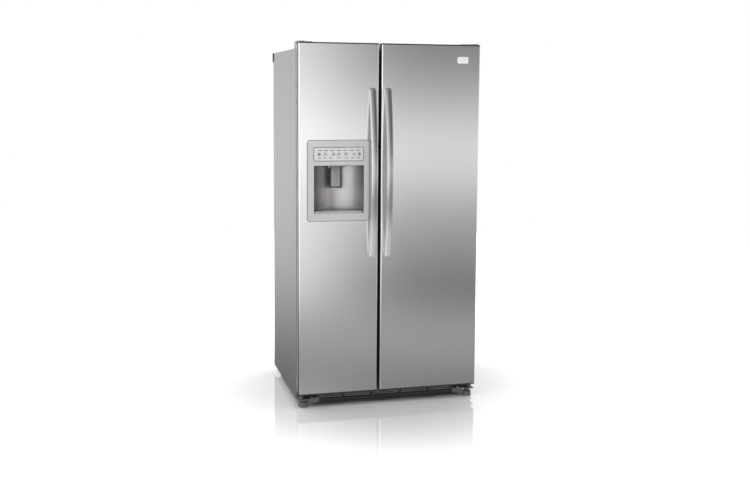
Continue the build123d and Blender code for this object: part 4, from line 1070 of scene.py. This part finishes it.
def ramp(tree, value, stops):
    """A curve through (position, level) stops, both mapped into the ramp's 0 to 1 and back."""
    low, high = stops[0][0], stops[-1][0]
    peak = max(level for _, level in stops)
    ranged = node(tree, "ShaderNodeMapRange", From_Min=low, From_Max=high)
    tree.links.new(value, ranged.inputs["Value"])
    made = tree.nodes.new("ShaderNodeValToRGB")
    tree.links.new(ranged.outputs["Result"], made.inputs["Fac"])
    made.color_ramp.interpolation = "CARDINAL"
    elements = made.color_ramp.elements
    while len(elements) < len(stops):
        elements.new(0.5)
    for element, (position, level) in zip(elements, stops):
        element.position = (position - low) / (high - low)
        element.color = (level / peak, level / peak, level / peak, 1)
    return combined(tree, "MULTIPLY", made.outputs["Color"], peak)


def combined(tree, operation, first, second):
    """Two values, each a number or a node's output, combined by an operation."""
    made = tree.nodes.new("ShaderNodeMath")
    made.operation = operation
    for socket, value in zip(made.inputs, (first, second)):
        if isinstance(value, (int, float)):
            socket.default_value = value
        else:
            tree.links.new(value, socket)
    return made.outputs["Value"]


def studio_world():
    """White to the camera. Surfaces see a darker studio in front of the doors, with soft bright bands."""
    world = bpy.data.worlds.new("studio")
    world.use_nodes = True
    tree = world.node_tree
    background = tree.nodes["Background"]
    x, y, z = direction(tree, "Generated")
    left = combined(tree, "MULTIPLY", ramp(tree, z, LEFT_HEIGHTS), ramp(tree, x, LEFT_FADE))
    front = combined(tree, "ADD", ramp(tree, z, FRONT_HEIGHTS), left)
    mix = tree.nodes.new("ShaderNodeMix")
    tree.links.new(ramp(tree, y, BACK_BLEND), mix.inputs["Factor"])
    tree.links.new(front, mix.inputs["A"])
    tree.links.new(ramp(tree, z, BACK_HEIGHTS), mix.inputs["B"])
    rays = tree.nodes.new("ShaderNodeLightPath")
    seen = tree.nodes.new("ShaderNodeMix")
    tree.links.new(rays.outputs["Is Camera Ray"], seen.inputs["Factor"])
    tree.links.new(mix.outputs["Result"], seen.inputs["A"])
    seen.inputs["B"].default_value = 1.0
    tree.links.new(seen.outputs["Result"], background.inputs["Strength"])
    background.inputs["Color"].default_value = (1, 1, 1, 1)
    bpy.context.scene.world = world


def studio():
    stage_plane()
    studio_world()
    bpy.context.scene.view_settings.view_transform = "Standard"
    area_light("overhead", (0.0, 0.6, 5.0), (0.0, 0.6, 0.0), (9.0, 9.0), 800, mirrored=False)
    area_light("front_fill", (-0.6, -5.0, 2.2), (0.0, 0.0, 1.0), (3.0, 2.4), 65, mirrored=False)
    area_light("left_fill", (-3.4, -1.2, 1.6), (0.0, 0.0, 0.9), (1.6, 2.0), 14)


def camera():
    """The camera stands left of the middle, a little below the top of the doors, and looks slightly down."""
    place = (-1.314, -5.006, 1.513)
    yaw, pitch, roll = radians(14.86), radians(6.3), radians(0.4)
    ahead = Vector((sin(yaw) * cos(pitch), cos(yaw) * cos(pitch), -sin(pitch)))
    level = Vector((cos(yaw), -sin(yaw), 0))
    above = level.cross(ahead)
    right = level * cos(roll) + above * sin(roll)
    up = above * cos(roll) - level * sin(roll)
    data = bpy.data.cameras.new("camera")
    data.sensor_width = 36.0
    data.lens = 48.65
    data.shift_y = -0.0467
    view = added("camera", data)
    turn = Matrix((right, up, -ahead)).transposed()
    view.matrix_world = Matrix.Translation(place) @ turn.to_4x4()
    bpy.context.scene.camera = view


# ---- the refrigerator

camera()
studio()
kept_shapes()
for side in ("freezer", "fridge"):
    handle(side)
    gasket(f"{side}_door")
gap_shade_strip("freezer_door", FREEZER_GAP_SHADE_X)
gap_shade_strip("fridge_door", FRIDGE_GAP_SHADE_X)
door_liner("freezer_door", FREEZER_PLATFORM_X, FREEZER_DYKES, BULGE)
door_liner("fridge_door", FRIDGE_PLATFORM_X, FRIDGE_DYKES)
door_bins("freezer_door", **FREEZER_BINS)
door_bins("fridge_door", **FRIDGE_BINS)
dairy_compartment()
dairy_cover()
dispenser()
cabinet_outside()
cavity_tub("freezer", FREEZER_X)
cavity_tub("fridge", FRIDGE_X)
shelved = (("fridge", FRIDGE_X, FRIDGE_SHELVES, FRIDGE_SHELF_BACK),
           ("freezer", FREEZER_X, FREEZER_SHELVES, FREEZER_SHELF_BACK))
for side, x, levels, back in shelved:
    shelf_set(side, x, levels, back)
for side, x, levels, back in shelved:
    shelf_ribs(side, x, levels, back)
    cavity_lamp(side, x)
for name in ("freezer_drawer_lower", "freezer_drawer_upper", "crisper_lower", "crisper_upper"):
    drawer(name)
compressor()
